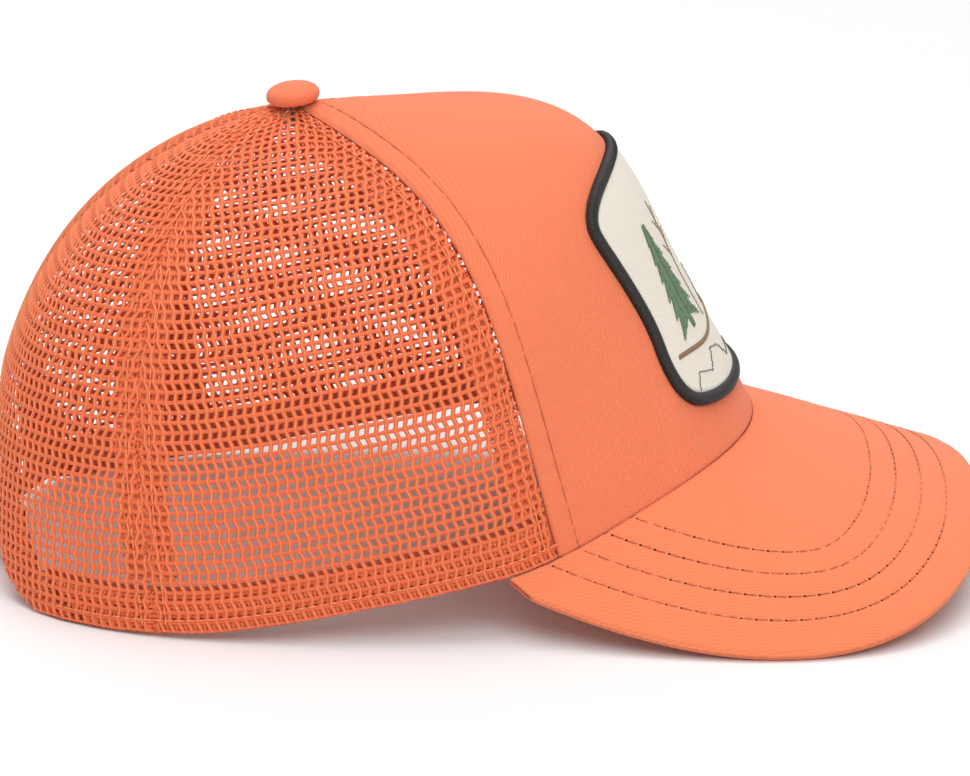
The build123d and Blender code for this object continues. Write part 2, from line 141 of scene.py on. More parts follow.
# ---- patch, button and straps ----
PATCH_LEAN = radians(31.0)
PATCH_CENTRE_RISE = 46.0
PATCH_BORDER_WIDTH = 3.0
PATCH_HALF_SIZE = 37.0
PATCH_OUTLINE = (
    (0, 39.9), (12.0, 39.9), (22.0, 39.0), (28.9, 37.4), (33.4, 35.0), (36.0, 31.6), (36.5, 26.8),
    (36.0, 20.0), (35.2, 11.0), (34.9, 2.0), (35.6, -5.0), (36.9, -11.0), (37.5, -17.0), (36.8, -22.5),
    (34.0, -27.0), (27.4, -30.6), (18.2, -33.0), (8.0, -34.0), (0, -34.2))
BUTTON_RADIUS = 7.3
BUTTON_HEIGHT = 5.2
BUTTON_TILT = radians(6.0)
BUTTON_FORWARD = 0.8
STRAP_AXIS_X = -35.1
STRAP_RADIUS = 101.0
STRAP_THICKNESS = 1.2
STRAP_GAP = 0.2
STRAP_BOTTOM = 3.5
STRAP_TOP = 20.5
STRAP_TIP_ANGLE = 10.2
HINGE_ANGLE = 19.9
TAB_END_ANGLE = 26.0
PEG_PITCH_ANGLE = 4.85
PEG_COUNT = 6
PEGS_ENGAGED = 4
PEG_RADIUS = 1.7
PEG_HEIGHT = 1.8
HOLE_RADIUS = 2.35

# ---- knit of the mesh cloth ----
WALE_PITCH = 2.6                  # across, from hole to hole
COURSE_PITCH = 2.7                # up, from row to row
PLY_GAP = 0.42                    # from one ply of a folded band down to the other
HIDDEN_SHARE = 0.2                # part of a wall covered by the band at each of its ends
STRAND_DEPTH = 0.2
WALL_DEPTH = 0.18
RIB_WIDTH = 0.21
RIB_RISE = 0.19                   # the rib's middle over the knit's
WALE_SWAY = 0.8                   # how far each row leans left, then right
FLAT_SPAN = 400.0                 # the cloth that one unit of the flat UV map covers

# ---- colours, as sRGB ----
FRONT_CORAL = "F98258"
VISOR_CORAL = "F88558"
# The next two colours are one orange yarn: the ground's darker colour is painted shade between the ribs, and
# the rib's lighter colour is a painted highlight.
MESH_GROUND_PAINTED_SHADE = "F16A35"
MESH_RIB_PAINTED_LIGHT = "FF9058"
SWEATBAND_RED = "EE7E55"
STIFFENER_PEACH = "E9A283"
THREAD_RUST = "C4683C"
NEEDLE_DARK = "4A1B10"
PATCH_CREAM = "EDE6D8"
BORDER_BLACK = "1A1514"
FIR_GREEN = "5E7F5B"
TWIG_BROWN = "8B6B4A"
SHORE_GREY = "4A4A48"
LABEL_WHITE = "EEEAE2"
STRAP_ORANGE = "EE6A38"
BOARD_WHITE = "E4E2DC"
STEEL_GREY = "C9C9C6"
FLOOR_WHITE = "F4F4F4"


# ======================================================================================
# surfaces
# ======================================================================================

def smooth_step(x):
    x = np.clip(x, 0.0, 1.0)
    return x * x * (3 - 2 * x)


def hem_reach(a):
    ahead = np.cos(a) > 0
    reach = np.where(ahead, FRONT_REACH, BACK_REACH)
    power = np.where(ahead, FRONT_SQUARENESS, BACK_SQUARENESS)
    along = np.abs(np.cos(a) / reach) ** power
    across = np.abs(np.sin(a) / HALF_WIDTH) ** power
    return (along + across) ** (-1 / power)


def crown_skin(angle, climb):
    """Points on the crown's outside: degrees from straight ahead, climb 0 at the hem to 1 at the button."""
    a, climb = np.broadcast_arrays(np.radians(angle), climb)
    reach = hem_reach(a)
    front = smooth_step(np.maximum(0.0, np.cos(a)) ** FRONT_WEIGHT_POWER)
    back = smooth_step(np.maximum(0.0, -np.cos(a)) ** BACK_WEIGHT_POWER)
    side = 1 - front - back
    power, inset, height = (
        side * s + front * f + back * b for s, f, b in zip(SIDE_SHOULDER, FRONT_SHOULDER, BACK_SHOULDER))
    inset = inset * reach
    level = AXIS_Z + reach * np.cos(a) * sin(CROWN_TILT)
    resting = (level + np.sqrt(level * level + HEM_ROUNDING ** 2)) / 2 - REAR_SETTLE * back
    base = (resting - level) / cos(CROWN_TILT) + HEM_RISE * smooth_step((np.cos(a) - 0.42) / 0.58)
    turn = climb * pi / 2
    size = (np.abs(np.cos(turn)) ** power + np.abs(np.sin(turn)) ** power) ** (1 / power)
    flat = np.cos(turn) / size
    rise = np.sin(turn) / size
    foot = reach + (inset - reach) * base / height
    radius = inset + (foot - inset) * (1 - rise) - inset * (1 - flat)
    radius = radius - FACE_HOLLOW * front * np.sin(pi * np.minimum(1.0, rise)) ** 2
    z = height + (base - height) * (1 - rise) + (CROWN_HEIGHT - height) * (1 - flat)
    x = radius * np.cos(a)
    return np.stack([
        AXIS_X + x * cos(CROWN_TILT) - z * sin(CROWN_TILT),
        radius * np.sin(a),
        AXIS_Z + x * sin(CROWN_TILT) + z * cos(CROWN_TILT)], axis=-1)


def unit(v):
    return v / np.maximum(np.linalg.norm(v, axis=-1, keepdims=True), 1e-9)


def crown_outward(angle, climb):
    step = 1e-3
    angle, climb = np.broadcast_arrays(angle, climb)
    across = crown_skin(angle + 0.05, climb) - crown_skin(angle - 0.05, climb)
    upward = crown_skin(angle, climb + step) - crown_skin(angle, np.maximum(0.0, climb - step))
    return unit(np.cross(across, upward))


def crown(angle, climb, depth=0.0):
    """Points at a depth in from the crown's outside."""
    depth = np.broadcast_to(depth, np.broadcast(np.asarray(angle), np.asarray(climb)).shape)
    return crown_skin(angle, climb) - crown_outward(angle, climb) * depth[..., None]


def degree_length(angle, climb):
    """Millimetres that one degree spans here."""
    return np.linalg.norm(crown_skin(angle + 0.5, climb) - crown_skin(angle - 0.5, climb), axis=-1)


def front_seam(climb):
    return FRONT_SEAM - FRONT_SEAM_SWING * climb ** 2


def side_seam(climb):
    return SIDE_SEAM + SIDE_SEAM_SWING * climb ** 2


def climb_for(angles, lengths):
    """Climbs on each angle's meridian at these lengths up from the hem."""
    climbs = np.linspace(0.0, 0.99, 300)
    skin = crown_skin(np.asarray(angles)[:, None], climbs[None, :])
    steps = np.linalg.norm(np.diff(skin, axis=1), axis=-1)
    run = np.concatenate([np.zeros((len(skin), 1)), np.cumsum(steps, axis=1)], axis=1)
    lengths = np.broadcast_to(lengths, (len(skin), np.shape(lengths)[-1]))
    return np.array([np.interp(length, r, climbs) for length, r in zip(lengths, run)])


def arch_half_width(height, margin):
    top = ARCH_HEIGHT + margin
    body = (ARCH_HALF_WIDTH + margin) * (1 - np.clip(height / top, 0.0, 1.0) ** 2.6) ** (1 / 2.2)
    return body + ARCH_FLARE * np.exp(-height / (ARCH_FLARE_HEIGHT + margin))


def beyond_arch(points, margin=0.0):
    """Rough distance outside the rear arch's outline, negative inside it."""
    height = np.maximum(points[..., 2], 0.0)
    sideways = np.abs(points[..., 1]) - arch_half_width(height, margin)
    above = points[..., 2] - (ARCH_HEIGHT + margin)
    outside = np.where(points[..., 0] < -60, np.maximum(sideways, above), 99.0)
    return outside


def find_on_crown(across, up, axes, origin, angle, climb):
    """Angle and climb of the crown's points that project to (across, up) on a plane, by Newton's steps."""
    axes = np.array(axes)

    def flat(a, c):
        return (crown_skin(a, c) - origin) @ axes.T

    target = np.stack([across, up], axis=-1)
    for _ in range(14):
        here = flat(angle, climb)
        by_angle = (flat(angle + 0.05, climb) - here) / 0.05
        by_climb = (flat(angle, climb + 1e-4) - here) / 1e-4
        miss = target - here
        det = by_angle[..., 0] * by_climb[..., 1] - by_angle[..., 1] * by_climb[..., 0]
        det = np.where(np.abs(det) < 1e-6, 1e-6, det)
        turn = (miss[..., 0] * by_climb[..., 1] - miss[..., 1] * by_climb[..., 0]) / det
        lift = (by_angle[..., 0] * miss[..., 1] - by_angle[..., 1] * miss[..., 0]) / det
        angle = angle + np.clip(turn, -6.0, 6.0)
        climb = np.clip(climb + np.clip(lift, -0.08, 0.08), 0.0, 0.985)
    return angle, climb


PATCH_UP = np.array([-sin(PATCH_LEAN), 0.0, cos(PATCH_LEAN)])
PATCH_ORIGIN = crown_skin(0.0, 0.0) + PATCH_UP * PATCH_CENTRE_RISE


def on_face(across, up, proud):
    """Points on the crown's front face, from coordinates on the patch's own plane."""
    across, up = np.broadcast_arrays(np.asarray(across, float), np.asarray(up, float))
    angle, climb = find_on_crown(
        across, up, ((0, 1, 0), PATCH_UP), PATCH_ORIGIN, across / 1.6, (PATCH_CENTRE_RISE + up) / 170.0)
    return crown(angle, climb, -np.broadcast_to(proud, across.shape)), crown_outward(angle, climb)


def rim_point(side):
    corner = crown_skin(VISOR_HALF_ANGLE, 0.0)
    t = (1 - np.abs(side))[..., None]
    rim = ((1 - t) ** 3 * corner + 3 * (1 - t) ** 2 * t * np.array(VISOR_SIDE_PULL)
           + 3 * (1 - t) * t * t * np.array(VISOR_FRONT_PULL) + t ** 3 * np.array(VISOR_TIP))
    rim[..., 1] *= np.where(side > 0, 1.0, -1.0)
    return rim


def visor_skin(side, out):
    inner = crown_skin(VISOR_HALF_ANGLE * side, 0.0)
    return inner + (rim_point(side) - inner) * np.asarray(out)[..., None]


def visor_upward(side, out):
    step = 1e-3
    across = visor_skin(side + step, out) - visor_skin(side - step, out)
    outward = visor_skin(side, out + step) - visor_skin(side, out - step)
    return unit(np.cross(outward, across))


def visor_length(side):
    return np.linalg.norm(rim_point(side) - crown_skin(VISOR_HALF_ANGLE * side, 0.0), axis=-1)


def square_to_rim(points):
    """Shortest distance from each point to the visor's rim."""
    rim = rim_point(np.linspace(-1.0, 1.0, 500))
    flat = points.reshape(-1, 3)
    nearest = [np.linalg.norm(block[:, None] - rim[None], axis=-1).min(axis=1)
               for block in np.array_split(flat, max(1, len(flat) // 2000))]
    return np.concatenate(nearest).reshape(points.shape[:-1])


def visor_row(distance):
    """Sides and outs of the line that keeps this distance square in from the rim."""
    sides = VISOR_END * np.linspace(-1.0, 1.0, 500)
    shares = np.linspace(0.0, 1.0, 60)
    inward = square_to_rim(visor_skin(sides[:, None], np.broadcast_to(shares, (500, 60))))
    reached = inward[:, 0] > distance + 0.8
    outs = np.array([np.interp(-distance, -row, shares) for row in inward[reached]])
    return sides[reached], outs


# ======================================================================================
# meshes
# ======================================================================================

def new_object(name, mesh):
    piece = bpy.data.objects.new(name, mesh)
    bpy.context.scene.collection.objects.link(piece)
    return piece


def new_mesh(name, points, faces, cloth=None, smooth=True):
    """Mesh from points in millimetres, with a UV map in metres of cloth where it is given."""
    mesh = bpy.data.meshes.new(name)
    mesh.from_pydata((np.asarray(points) * MM).tolist(), [], [list(map(int, f)) for f in faces])
    if cloth is not None:
        corners = np.zeros(len(mesh.loops), int)
        mesh.loops.foreach_get("vertex_index", corners)
        layer = mesh.uv_layers.new(name="cloth")
        layer.uv.foreach_set("vector", np.asarray(cloth)[corners].astype(np.float32).ravel())
    mesh.polygons.foreach_set("use_smooth", np.full(len(mesh.polygons), smooth))
    mesh.update()
    return mesh


def grid_faces(rows, columns, start=0, closed=False):
    """Quads of a grid of points stored row by row; closed joins the last row to the first."""
    faces = []
    for i in range(rows if closed else rows - 1):
        near = start + i * columns
        far = start + ((i + 1) % rows) * columns
        for j in range(columns - 1):
            faces.append((near + j, far + j, far + j + 1, near + j + 1))
    return faces


def close_up(mesh, distance):
    """Joins points that lie within a distance in metres, and turns every face outward."""
    shape = bmesh.new()
    shape.from_mesh(mesh)
    bmesh.ops.remove_doubles(shape, verts=shape.verts, dist=distance)
    bmesh.ops.recalc_face_normals(shape, faces=shape.faces)
    shape.to_mesh(mesh)
    shape.free()


def closed_cloth(name, outer, inner, cloth):
    """Cloth with a thickness: an outer and an inner grid of points, joined round the edge."""
    rows, columns = outer.shape[:2]
    count = rows * columns
    index = np.arange(count).reshape(rows, columns)
    upper = np.array(grid_faces(rows, columns))
    lower = upper[:, ::-1] + count
    loop = np.concatenate([index[0, :], index[1:, -1], index[-1, -2::-1], index[-2:0:-1, 0]])
    after = np.roll(loop, -1)
    wall = np.stack([loop, after, after + count, loop + count], axis=1)
    points = np.concatenate([outer.reshape(-1, 3), inner.reshape(-1, 3)])
    a, b, _, d = points[upper[len(upper) // 2]]
    outside = (outer - inner).reshape(-1, 3)[upper[len(upper) // 2][0]]
    faces = np.concatenate([upper, lower, wall])
    if np.dot(np.cross(b - a, d - a), outside) < 0:
        faces = faces[:, ::-1]
    flat = np.concatenate([cloth.reshape(-1, 2)] * 2) * MM
    return new_object(name, new_mesh(name, points, faces, flat))


def strand(path, width, height, sides=6, side=None, capped=True):
    """Points and faces of a yarn along a path, with a half width and half height at each point."""
    path = np.asarray(path, float)
    along = unit(np.gradient(path, axis=0))
    if side is None:
        side = unit(np.cross((0.0, 0.0, 1.0), along))
    side = np.broadcast_to(side, path.shape)
    up = np.cross(along, side)
    turn = 2 * pi * (np.arange(sides) + 0.5) / sides
    width = np.broadcast_to(width, len(path))[:, None, None]
    height = np.broadcast_to(height, len(path))[:, None, None]
    ring = (side[:, None] * np.cos(turn)[None, :, None] * width
            + up[:, None] * np.sin(turn)[None, :, None] * height)
    points = (path[:, None] + ring).reshape(-1, 3)
    faces = []
    for i in range(len(path) - 1):
        for k in range(sides):
            m = (k + 1) % sides
            faces.append((i * sides + k, i * sides + m, (i + 1) * sides + m, (i + 1) * sides + k))
    if capped:
        last = (len(path) - 1) * sides
        faces.append(tuple(range(sides - 1, -1, -1)))
        faces.append(tuple(last + k for k in range(sides)))
    return points, faces


def joined(parts):
    """One shape from (points, faces) parts."""
    points, faces, start = [], [], 0
    for part_points, part_faces in parts:
        points.append(part_points)
        faces += [tuple(start + v for v in f) for f in part_faces]
        start += len(part_points)
    return np.concatenate(points), faces


def repeated_shape(name, plain, raised):
    """Hidden shape that a node tree repeats, whose raised faces take the second material."""
    plain_count = sum(len(faces) for _, faces in plain)
    points, faces = joined(plain + raised)
    mesh = new_mesh(name, points, faces)
    flag = mesh.attributes.new("raised", "BOOLEAN", "FACE")
    flag.data.foreach_set("value", np.arange(len(faces)) >= plain_count)
    shape = bpy.data.objects.new(name, mesh)
    bpy.context.scene.collection.objects.link(shape)
    shape.hide_render = True
    shape.hide_viewport = True
    return shape


def mirrored(piece, name):
    """The other side's twin of a piece, across the cap's middle."""
    mesh = piece.data.copy()
    mesh.name = name
    count = len(mesh.vertices)
    points = np.zeros(count * 3, np.float32)
    mesh.vertices.foreach_get("co", points)
    points[1::3] *= -1
    mesh.vertices.foreach_set("co", points)
    mesh.flip_normals()
    mesh.update()
    return new_object(name, mesh)


# ======================================================================================
# node helpers
# ======================================================================================

def add_node(tree, kind, inputs=None, **settings):
    """A node with its settings, and its inputs set to values or linked to sockets."""
    node = tree.nodes.new(kind)
    for key, value in settings.items():
        setattr(node, key, value)
    for key, value in (inputs or {}).items():
        if isinstance(value, bpy.types.NodeSocket):
            tree.links.new(value, node.inputs[key])
        else:
            node.inputs[key].default_value = value
    return node


def new_geometry_tree(name, sockets):
    """Geometry node tree with a geometry input and output and these named inputs."""
    tree = bpy.data.node_groups.new(name, "GeometryNodeTree")
    tree.interface.new_socket(name="Geometry", in_out="INPUT", socket_type="NodeSocketGeometry")
    for title, kind in sockets:
        tree.interface.new_socket(name=title, in_out="INPUT", socket_type="NodeSocket" + kind)
    tree.interface.new_socket(name="Geometry", in_out="OUTPUT", socket_type="NodeSocketGeometry")
    return tree, add_node(tree, "NodeGroupInput").outputs


def paint_raised(tree, geometry, given):
    """Last nodes of every tree: the plain material, then the second one on the raised faces."""
    raised = add_node(tree, "GeometryNodeInputNamedAttribute", {"Name": "raised"}, data_type="BOOLEAN")
    plain = add_node(tree, "GeometryNodeSetMaterial", {
        "Geometry": geometry, "Material": given["Plain material"]})
    both = add_node(tree, "GeometryNodeSetMaterial", {
        "Geometry": plain.outputs[0], "Selection": raised.outputs[0], "Material": given["Raised material"]})
    add_node(tree, "NodeGroupOutput", {"Geometry": both.outputs[0]})


def grown(name, base, tree, **values):
    """Plain mesh piece that a tree makes from a base mesh, whose modifier is then removed."""
    host = new_object(name, base)
    growth = host.modifiers.new("growth", "NODES")
    growth.node_group = tree
    sockets = {item.name: item.identifier for item in tree.interface.items_tree if item.in_out == "INPUT"}
    for title, value in values.items():
        growth[sockets[title.replace("_", " ")]] = value
    evaluated = host.evaluated_get(bpy.context.evaluated_depsgraph_get())
    mesh = bpy.data.meshes.new_from_object(evaluated)
    host.modifiers.remove(growth)
    host.data = mesh
    mesh.name = name
    for spare in [a.name for a in mesh.attributes if a.name in ("raised", "outward", "keep", "row_along")]:
        mesh.attributes.remove(mesh.attributes[spare])
    return host


def build_knit_tree():
    """Lays knit cells out flat, wraps them over a scaffold by its flat UV map, and trims them."""
    tree, given = new_geometry_tree("mesh_knit", [
        ("Cell", "Object"), ("Columns", "Int"), ("Rows", "Int"), ("Column pitch", "Float"),
        ("Row pitch", "Float"), ("Middle", "Vector"), ("Wander", "Float"), ("Flat span", "Float"),
        ("Plain material", "Material"), ("Raised material", "Material")])

    def vector(operation, *inputs):
        return add_node(tree, "ShaderNodeVectorMath", dict(enumerate(inputs)), operation=operation).outputs[0]

    def number(operation, *inputs):
        return add_node(tree, "ShaderNodeMath", dict(enumerate(inputs)), operation=operation).outputs[0]

    width = number("MULTIPLY", number("SUBTRACT", given["Columns"], 1.0), given["Column pitch"])
    length = number("MULTIPLY", number("SUBTRACT", given["Rows"], 1.0), given["Row pitch"])
    lattice = add_node(tree, "GeometryNodeMeshGrid", {
        "Size X": width, "Size Y": length, "Vertices X": given["Columns"], "Vertices Y": given["Rows"]})
    placed = add_node(tree, "GeometryNodeTransform", {
        "Geometry": lattice.outputs[0], "Translation": given["Middle"]})
    cell = add_node(tree, "GeometryNodeObjectInfo", {"Object": given["Cell"]})
    cells = add_node(tree, "GeometryNodeInstanceOnPoints", {
        "Points": placed.outputs[0], "Instance": cell.outputs["Geometry"]})
    real = add_node(tree, "GeometryNodeRealizeInstances", {"Geometry": cells.outputs[0]})
    welded = add_node(tree, "GeometryNodeMergeByDistance", {"Geometry": real.outputs[0], "Distance": 2e-5})
    flat = add_node(tree, "GeometryNodeInputPosition").outputs[0]
    drift = add_node(tree, "ShaderNodeTexNoise", {"Vector": flat, "Scale": 110.0, "Detail": 1.0})
    centred = vector("SUBTRACT", drift.outputs["Color"], (0.5, 0.5, 0.5))
    wandering = vector("ADD", flat, vector("MULTIPLY", centred, add_node(
        tree, "ShaderNodeCombineXYZ", {0: given["Wander"], 1: given["Wander"]}).outputs[0]))
    parts = add_node(tree, "ShaderNodeSeparateXYZ", {0: wandering}).outputs
    flat_place = add_node(tree, "ShaderNodeCombineXYZ", {
        0: number("ADD", number("DIVIDE", parts[0], given["Flat span"]), 0.5),
        1: number("ADD", number("DIVIDE", parts[1], given["Flat span"]), 0.1)}).outputs[0]
    map_name = add_node(tree, "GeometryNodeInputNamedAttribute", {"Name": "flat"}, data_type="FLOAT_VECTOR")

    def on_scaffold(value, kind):
        sample = add_node(tree, "GeometryNodeSampleUVSurface", data_type=kind)
        tree.links.new(given["Geometry"], sample.inputs["Mesh"])
        tree.links.new(value, next(s for s in sample.inputs if s.name == "Value" and s.enabled))
        tree.links.new(map_name.outputs[0], sample.inputs["UV Map"])
        tree.links.new(flat_place, sample.inputs["Sample UV"])
        return next(s for s in sample.outputs if s.name == "Value" and s.enabled), sample.outputs["Is Valid"]

    ground, on_cloth = on_scaffold(add_node(tree, "GeometryNodeInputPosition").outputs[0], "FLOAT_VECTOR")
    outward_name = add_node(
        tree, "GeometryNodeInputNamedAttribute", {"Name": "outward"}, data_type="FLOAT_VECTOR")
    outward, _ = on_scaffold(outward_name.outputs[0], "FLOAT_VECTOR")
    keep_name = add_node(tree, "GeometryNodeInputNamedAttribute", {"Name": "keep"}, data_type="FLOAT")
    keep, _ = on_scaffold(keep_name.outputs[0], "FLOAT")
    wanted = number("MULTIPLY", on_cloth, number("GREATER_THAN", keep, 0.0))
    store = add_node(tree, "GeometryNodeStoreNamedAttribute", {
        "Geometry": welded.outputs[0], "Name": "trim"}, data_type="FLOAT", domain="POINT")
    tree.links.new(wanted, next(s for s in store.inputs if s.name == "Value" and s.enabled))
    bent = add_node(tree, "GeometryNodeSetPosition", {
        "Geometry": store.outputs[0],
        "Position": vector("ADD", ground, add_node(tree, "ShaderNodeVectorMath", {
            0: unit_vector(tree, outward), "Scale": parts[2]}, operation="SCALE").outputs[0])})
    trim = add_node(tree, "GeometryNodeInputNamedAttribute", {"Name": "trim"}, data_type="FLOAT").outputs[0]
    cut = add_node(tree, "GeometryNodeDeleteGeometry", {
        "Geometry": bent.outputs[0], "Selection": number("LESS_THAN", trim, 0.5)}, domain="POINT")
    spare = add_node(tree, "GeometryNodeRemoveAttribute", {"Geometry": cut.outputs[0], "Name": "trim"})
    paint_raised(tree, spare.outputs[0], given)
    return tree


def unit_vector(tree, value):
    return add_node(tree, "ShaderNodeVectorMath", {0: value}, operation="NORMALIZE").outputs[0]


def build_stitch_tree():
    """Repeats a stitch along the edges of a base mesh, flat on the cloth that it sews."""
    tree, given = new_geometry_tree("stitch_run", [
        ("Stitch", "Object"), ("Pitch", "Float"),
        ("Plain material", "Material"), ("Raised material", "Material")])
    curve = add_node(tree, "GeometryNodeMeshToCurve", {"Mesh": given["Geometry"]})
    spaced = add_node(tree, "GeometryNodeResampleCurve", {
        "Curve": curve.outputs[0], "Length": given["Pitch"]}, mode="LENGTH")
    outward = add_node(tree, "GeometryNodeInputNamedAttribute", {"Name": "outward"}, data_type="FLOAT_VECTOR")
    facing = add_node(tree, "FunctionNodeAxesToRotation", {
        "Primary Axis": outward.outputs[0],
        "Secondary Axis": add_node(tree, "GeometryNodeInputTangent").outputs[0]},
        primary_axis="Z", secondary_axis="X")
    stitch = add_node(tree, "GeometryNodeObjectInfo", {"Object": given["Stitch"]})
    sewn = add_node(tree, "GeometryNodeInstanceOnPoints", {
        "Points": spaced.outputs[0], "Instance": stitch.outputs["Geometry"], "Rotation": facing.outputs[0]})
    real = add_node(tree, "GeometryNodeRealizeInstances", {"Geometry": sewn.outputs[0]})
    paint_raised(tree, real.outputs[0], given)
    return tree


def build_fill_tree():
    """Puts one satin stitch on each point, along the point's own direction and as long as it says."""
    tree, given = new_geometry_tree("satin_fill", [
        ("Stitch", "Object"), ("Plain material", "Material"), ("Raised material", "Material")])
    outward = add_node(tree, "GeometryNodeInputNamedAttribute", {"Name": "outward"}, data_type="FLOAT_VECTOR")
    along = add_node(tree, "GeometryNodeInputNamedAttribute", {"Name": "row_along"}, data_type="FLOAT_VECTOR")
    size = add_node(tree, "ShaderNodeVectorMath", {0: along.outputs[0]}, operation="LENGTH").outputs["Value"]
    facing = add_node(tree, "FunctionNodeAxesToRotation", {
        "Primary Axis": outward.outputs[0], "Secondary Axis": along.outputs[0]},
        primary_axis="Z", secondary_axis="X")
    stitch = add_node(tree, "GeometryNodeObjectInfo", {"Object": given["Stitch"]})
    scale = add_node(tree, "ShaderNodeCombineXYZ", {0: size, 1: 1.0, 2: 1.0})
    sewn = add_node(tree, "GeometryNodeInstanceOnPoints", {
        "Points": given["Geometry"], "Instance": stitch.outputs["Geometry"],
        "Rotation": facing.outputs[0], "Scale": scale.outputs[0]})
    real = add_node(tree, "GeometryNodeRealizeInstances", {"Geometry": sewn.outputs[0]})
    paint_raised(tree, real.outputs[0], given)
    return tree


# ======================================================================================
# materials
# ======================================================================================

def linear(colour, factor=1.0):
    """Linear RGBA of an sRGB hex colour, made lighter or darker by a factor."""
    channels = [int(colour[k:k + 2], 16) / 255 for k in (0, 2, 4)]
    flat = [c / 12.92 if c <= 0.04045 else ((c + 0.055) / 1.055) ** 2.4 for c in channels]
    return [min(1.0, c * factor) for c in flat] + [1.0]


def new_material(name, roughness, sheen=0.0, ior=1.5):
    material = bpy.data.materials.new(name)
    material.use_nodes = True
    tree = material.node_tree
    surface = tree.nodes["Principled BSDF"]
    surface.inputs["Roughness"].default_value = roughness
    surface.inputs["IOR"].default_value = ior
    surface.inputs["Sheen Weight"].default_value = sheen
    surface.inputs["Sheen Roughness"].default_value = 0.5
    return material, tree, surface


def thread_lines(tree, coordinate, spacing, turn):
    """Even lines at a spacing in millimetres, turned by some degrees."""
    turned = add_node(tree, "ShaderNodeMapping", {"Vector": coordinate, "Rotation": (0, 0, radians(turn))})
    return add_node(tree, "ShaderNodeTexWave", {
        "Vector": turned.outputs[0], "Scale": 0.314159 / (spacing * MM), "Distortion": 0.6,
        "Detail": 1.0, "Detail Scale": 1.5}, bands_direction="X").outputs["Fac"]


def cloud(tree, coordinate, size, detail=2.0):
    """Soft random patches about this many millimetres across."""
    return add_node(tree, "ShaderNodeTexNoise", {
        "Vector": coordinate, "Scale": 1 / (size * MM), "Detail": detail}).outputs["Fac"]


def blended(tree, amount, low, high):
    mix = add_node(tree, "ShaderNodeMix", {"Factor": amount}, data_type="RGBA")
    mix.inputs[6].default_value = low
    mix.inputs[7].default_value = high
    return mix.outputs[2]


def between(tree, value, low, high):
    return add_node(tree, "ShaderNodeMapRange", {"Value": value, "To Min": low, "To Max": high}).outputs[0]


def bumped(tree, surface, height, depth, strength=1.0):
    bump = add_node(tree, "ShaderNodeBump", {
        "Height": height, "Distance": depth * MM, "Strength": strength})
    tree.links.new(bump.outputs[0], surface.inputs["Normal"])


def product(tree, a, b):
    return add_node(tree, "ShaderNodeMath", {0: a, 1: b}, operation="MULTIPLY").outputs[0]


def total(tree, a, b):
    return add_node(tree, "ShaderNodeMath", {0: a, 1: b}, operation="ADD").outputs[0]


def cotton_twill(name, colour, spacing=0.8, turn=45.0, contrast=0.10):
    """Brushed cotton twill: matt, with fine slanted ribs, a soft bloom and a slightly uneven dye.
    Real ribs are about 0.4 mm apart; they are drawn wider so that they show."""
    material, tree, surface = new_material(name, roughness=0.88, sheen=0.12)
    cloth = add_node(tree, "ShaderNodeUVMap", uv_map="cloth").outputs[0]
    ribs = thread_lines(tree, cloth, spacing, turn)
    threads = thread_lines(tree, cloth, spacing * 0.62, turn - 90.0)
    dye = cloud(tree, cloth, 22.0)
    fuzz = cloud(tree, cloth, 0.7, 3.0)
    tone = total(tree, product(tree, ribs, 0.5), total(
        tree, product(tree, dye, 0.3), product(tree, fuzz, 0.2)))
    tree.links.new(
        blended(tree, tone, linear(colour, 1 - contrast), linear(colour, 1 + contrast)),
        surface.inputs["Base Color"])
    bumped(tree, surface, total(tree, product(tree, ribs, 0.6), product(tree, threads, 0.4)), 0.12)
    return material


def textured_polyester(name, colour, contrast=0.18):
    """Textured polyester knitting yarn: fluffed filaments that give a broken, slightly silky highlight."""
    material, tree, surface = new_material(name, roughness=0.62, sheen=0.15, ior=1.58)
    place = add_node(tree, "ShaderNodeTexCoord").outputs["Object"]
    filaments = cloud(tree, place, 0.35, 3.0)
    batch = cloud(tree, place, 14.0)
    tone = total(tree, product(tree, filaments, 0.6), product(tree, batch, 0.4))
    tree.links.new(
        blended(tree, tone, linear(colour, 1 - contrast), linear(colour, 1 + contrast)),
        surface.inputs["Base Color"])
    bumped(tree, surface, filaments, 0.06)
    return material


def spun_thread(name, colour, contrast=0.25, roughness=0.55):
    """Twisted polyester sewing thread: tight, a little shiny along each twist."""
    material, tree, surface = new_material(name, roughness=roughness, sheen=0.1, ior=1.58)
    place = add_node(tree, "ShaderNodeTexCoord").outputs["Object"]
    twist = cloud(tree, place, 0.25, 2.0)
    tree.links.new(
        blended(tree, twist, linear(colour, 1 - contrast), linear(colour, 1 + contrast)),
        surface.inputs["Base Color"])
    bumped(tree, surface, twist, 0.05)
    return material


def needle_hole(name, colour):
    """Shadow in a needle's hole: dark and quite dull, with a faint tint of the cloth."""
    material, tree, surface = new_material(name, roughness=1.0)
    place = add_node(tree, "ShaderNodeTexCoord").outputs["Object"]
    tree.links.new(
        blended(tree, cloud(tree, place, 0.4), linear(colour, 0.7), linear(colour, 1.3)),
        surface.inputs["Base Color"])
    return material


def woven_patch_ground(name, colour):
    """Plain woven polyester badge ground: close flat threads both ways, faintly satin."""
    material, tree, surface = new_material(name, roughness=0.7, sheen=0.08, ior=1.58)
    cloth = add_node(tree, "ShaderNodeUVMap", uv_map="cloth").outputs[0]
    weft = thread_lines(tree, cloth, 0.55, 90.0)
    warp = thread_lines(tree, cloth, 0.7, 0.0)
    weave = total(tree, product(tree, weft, 0.6), product(tree, warp, 0.4))
    tree.links.new(
        blended(tree, weave, linear(colour, 0.94), linear(colour, 1.04)), surface.inputs["Base Color"])
    bumped(tree, surface, weave, 0.05)
    return material


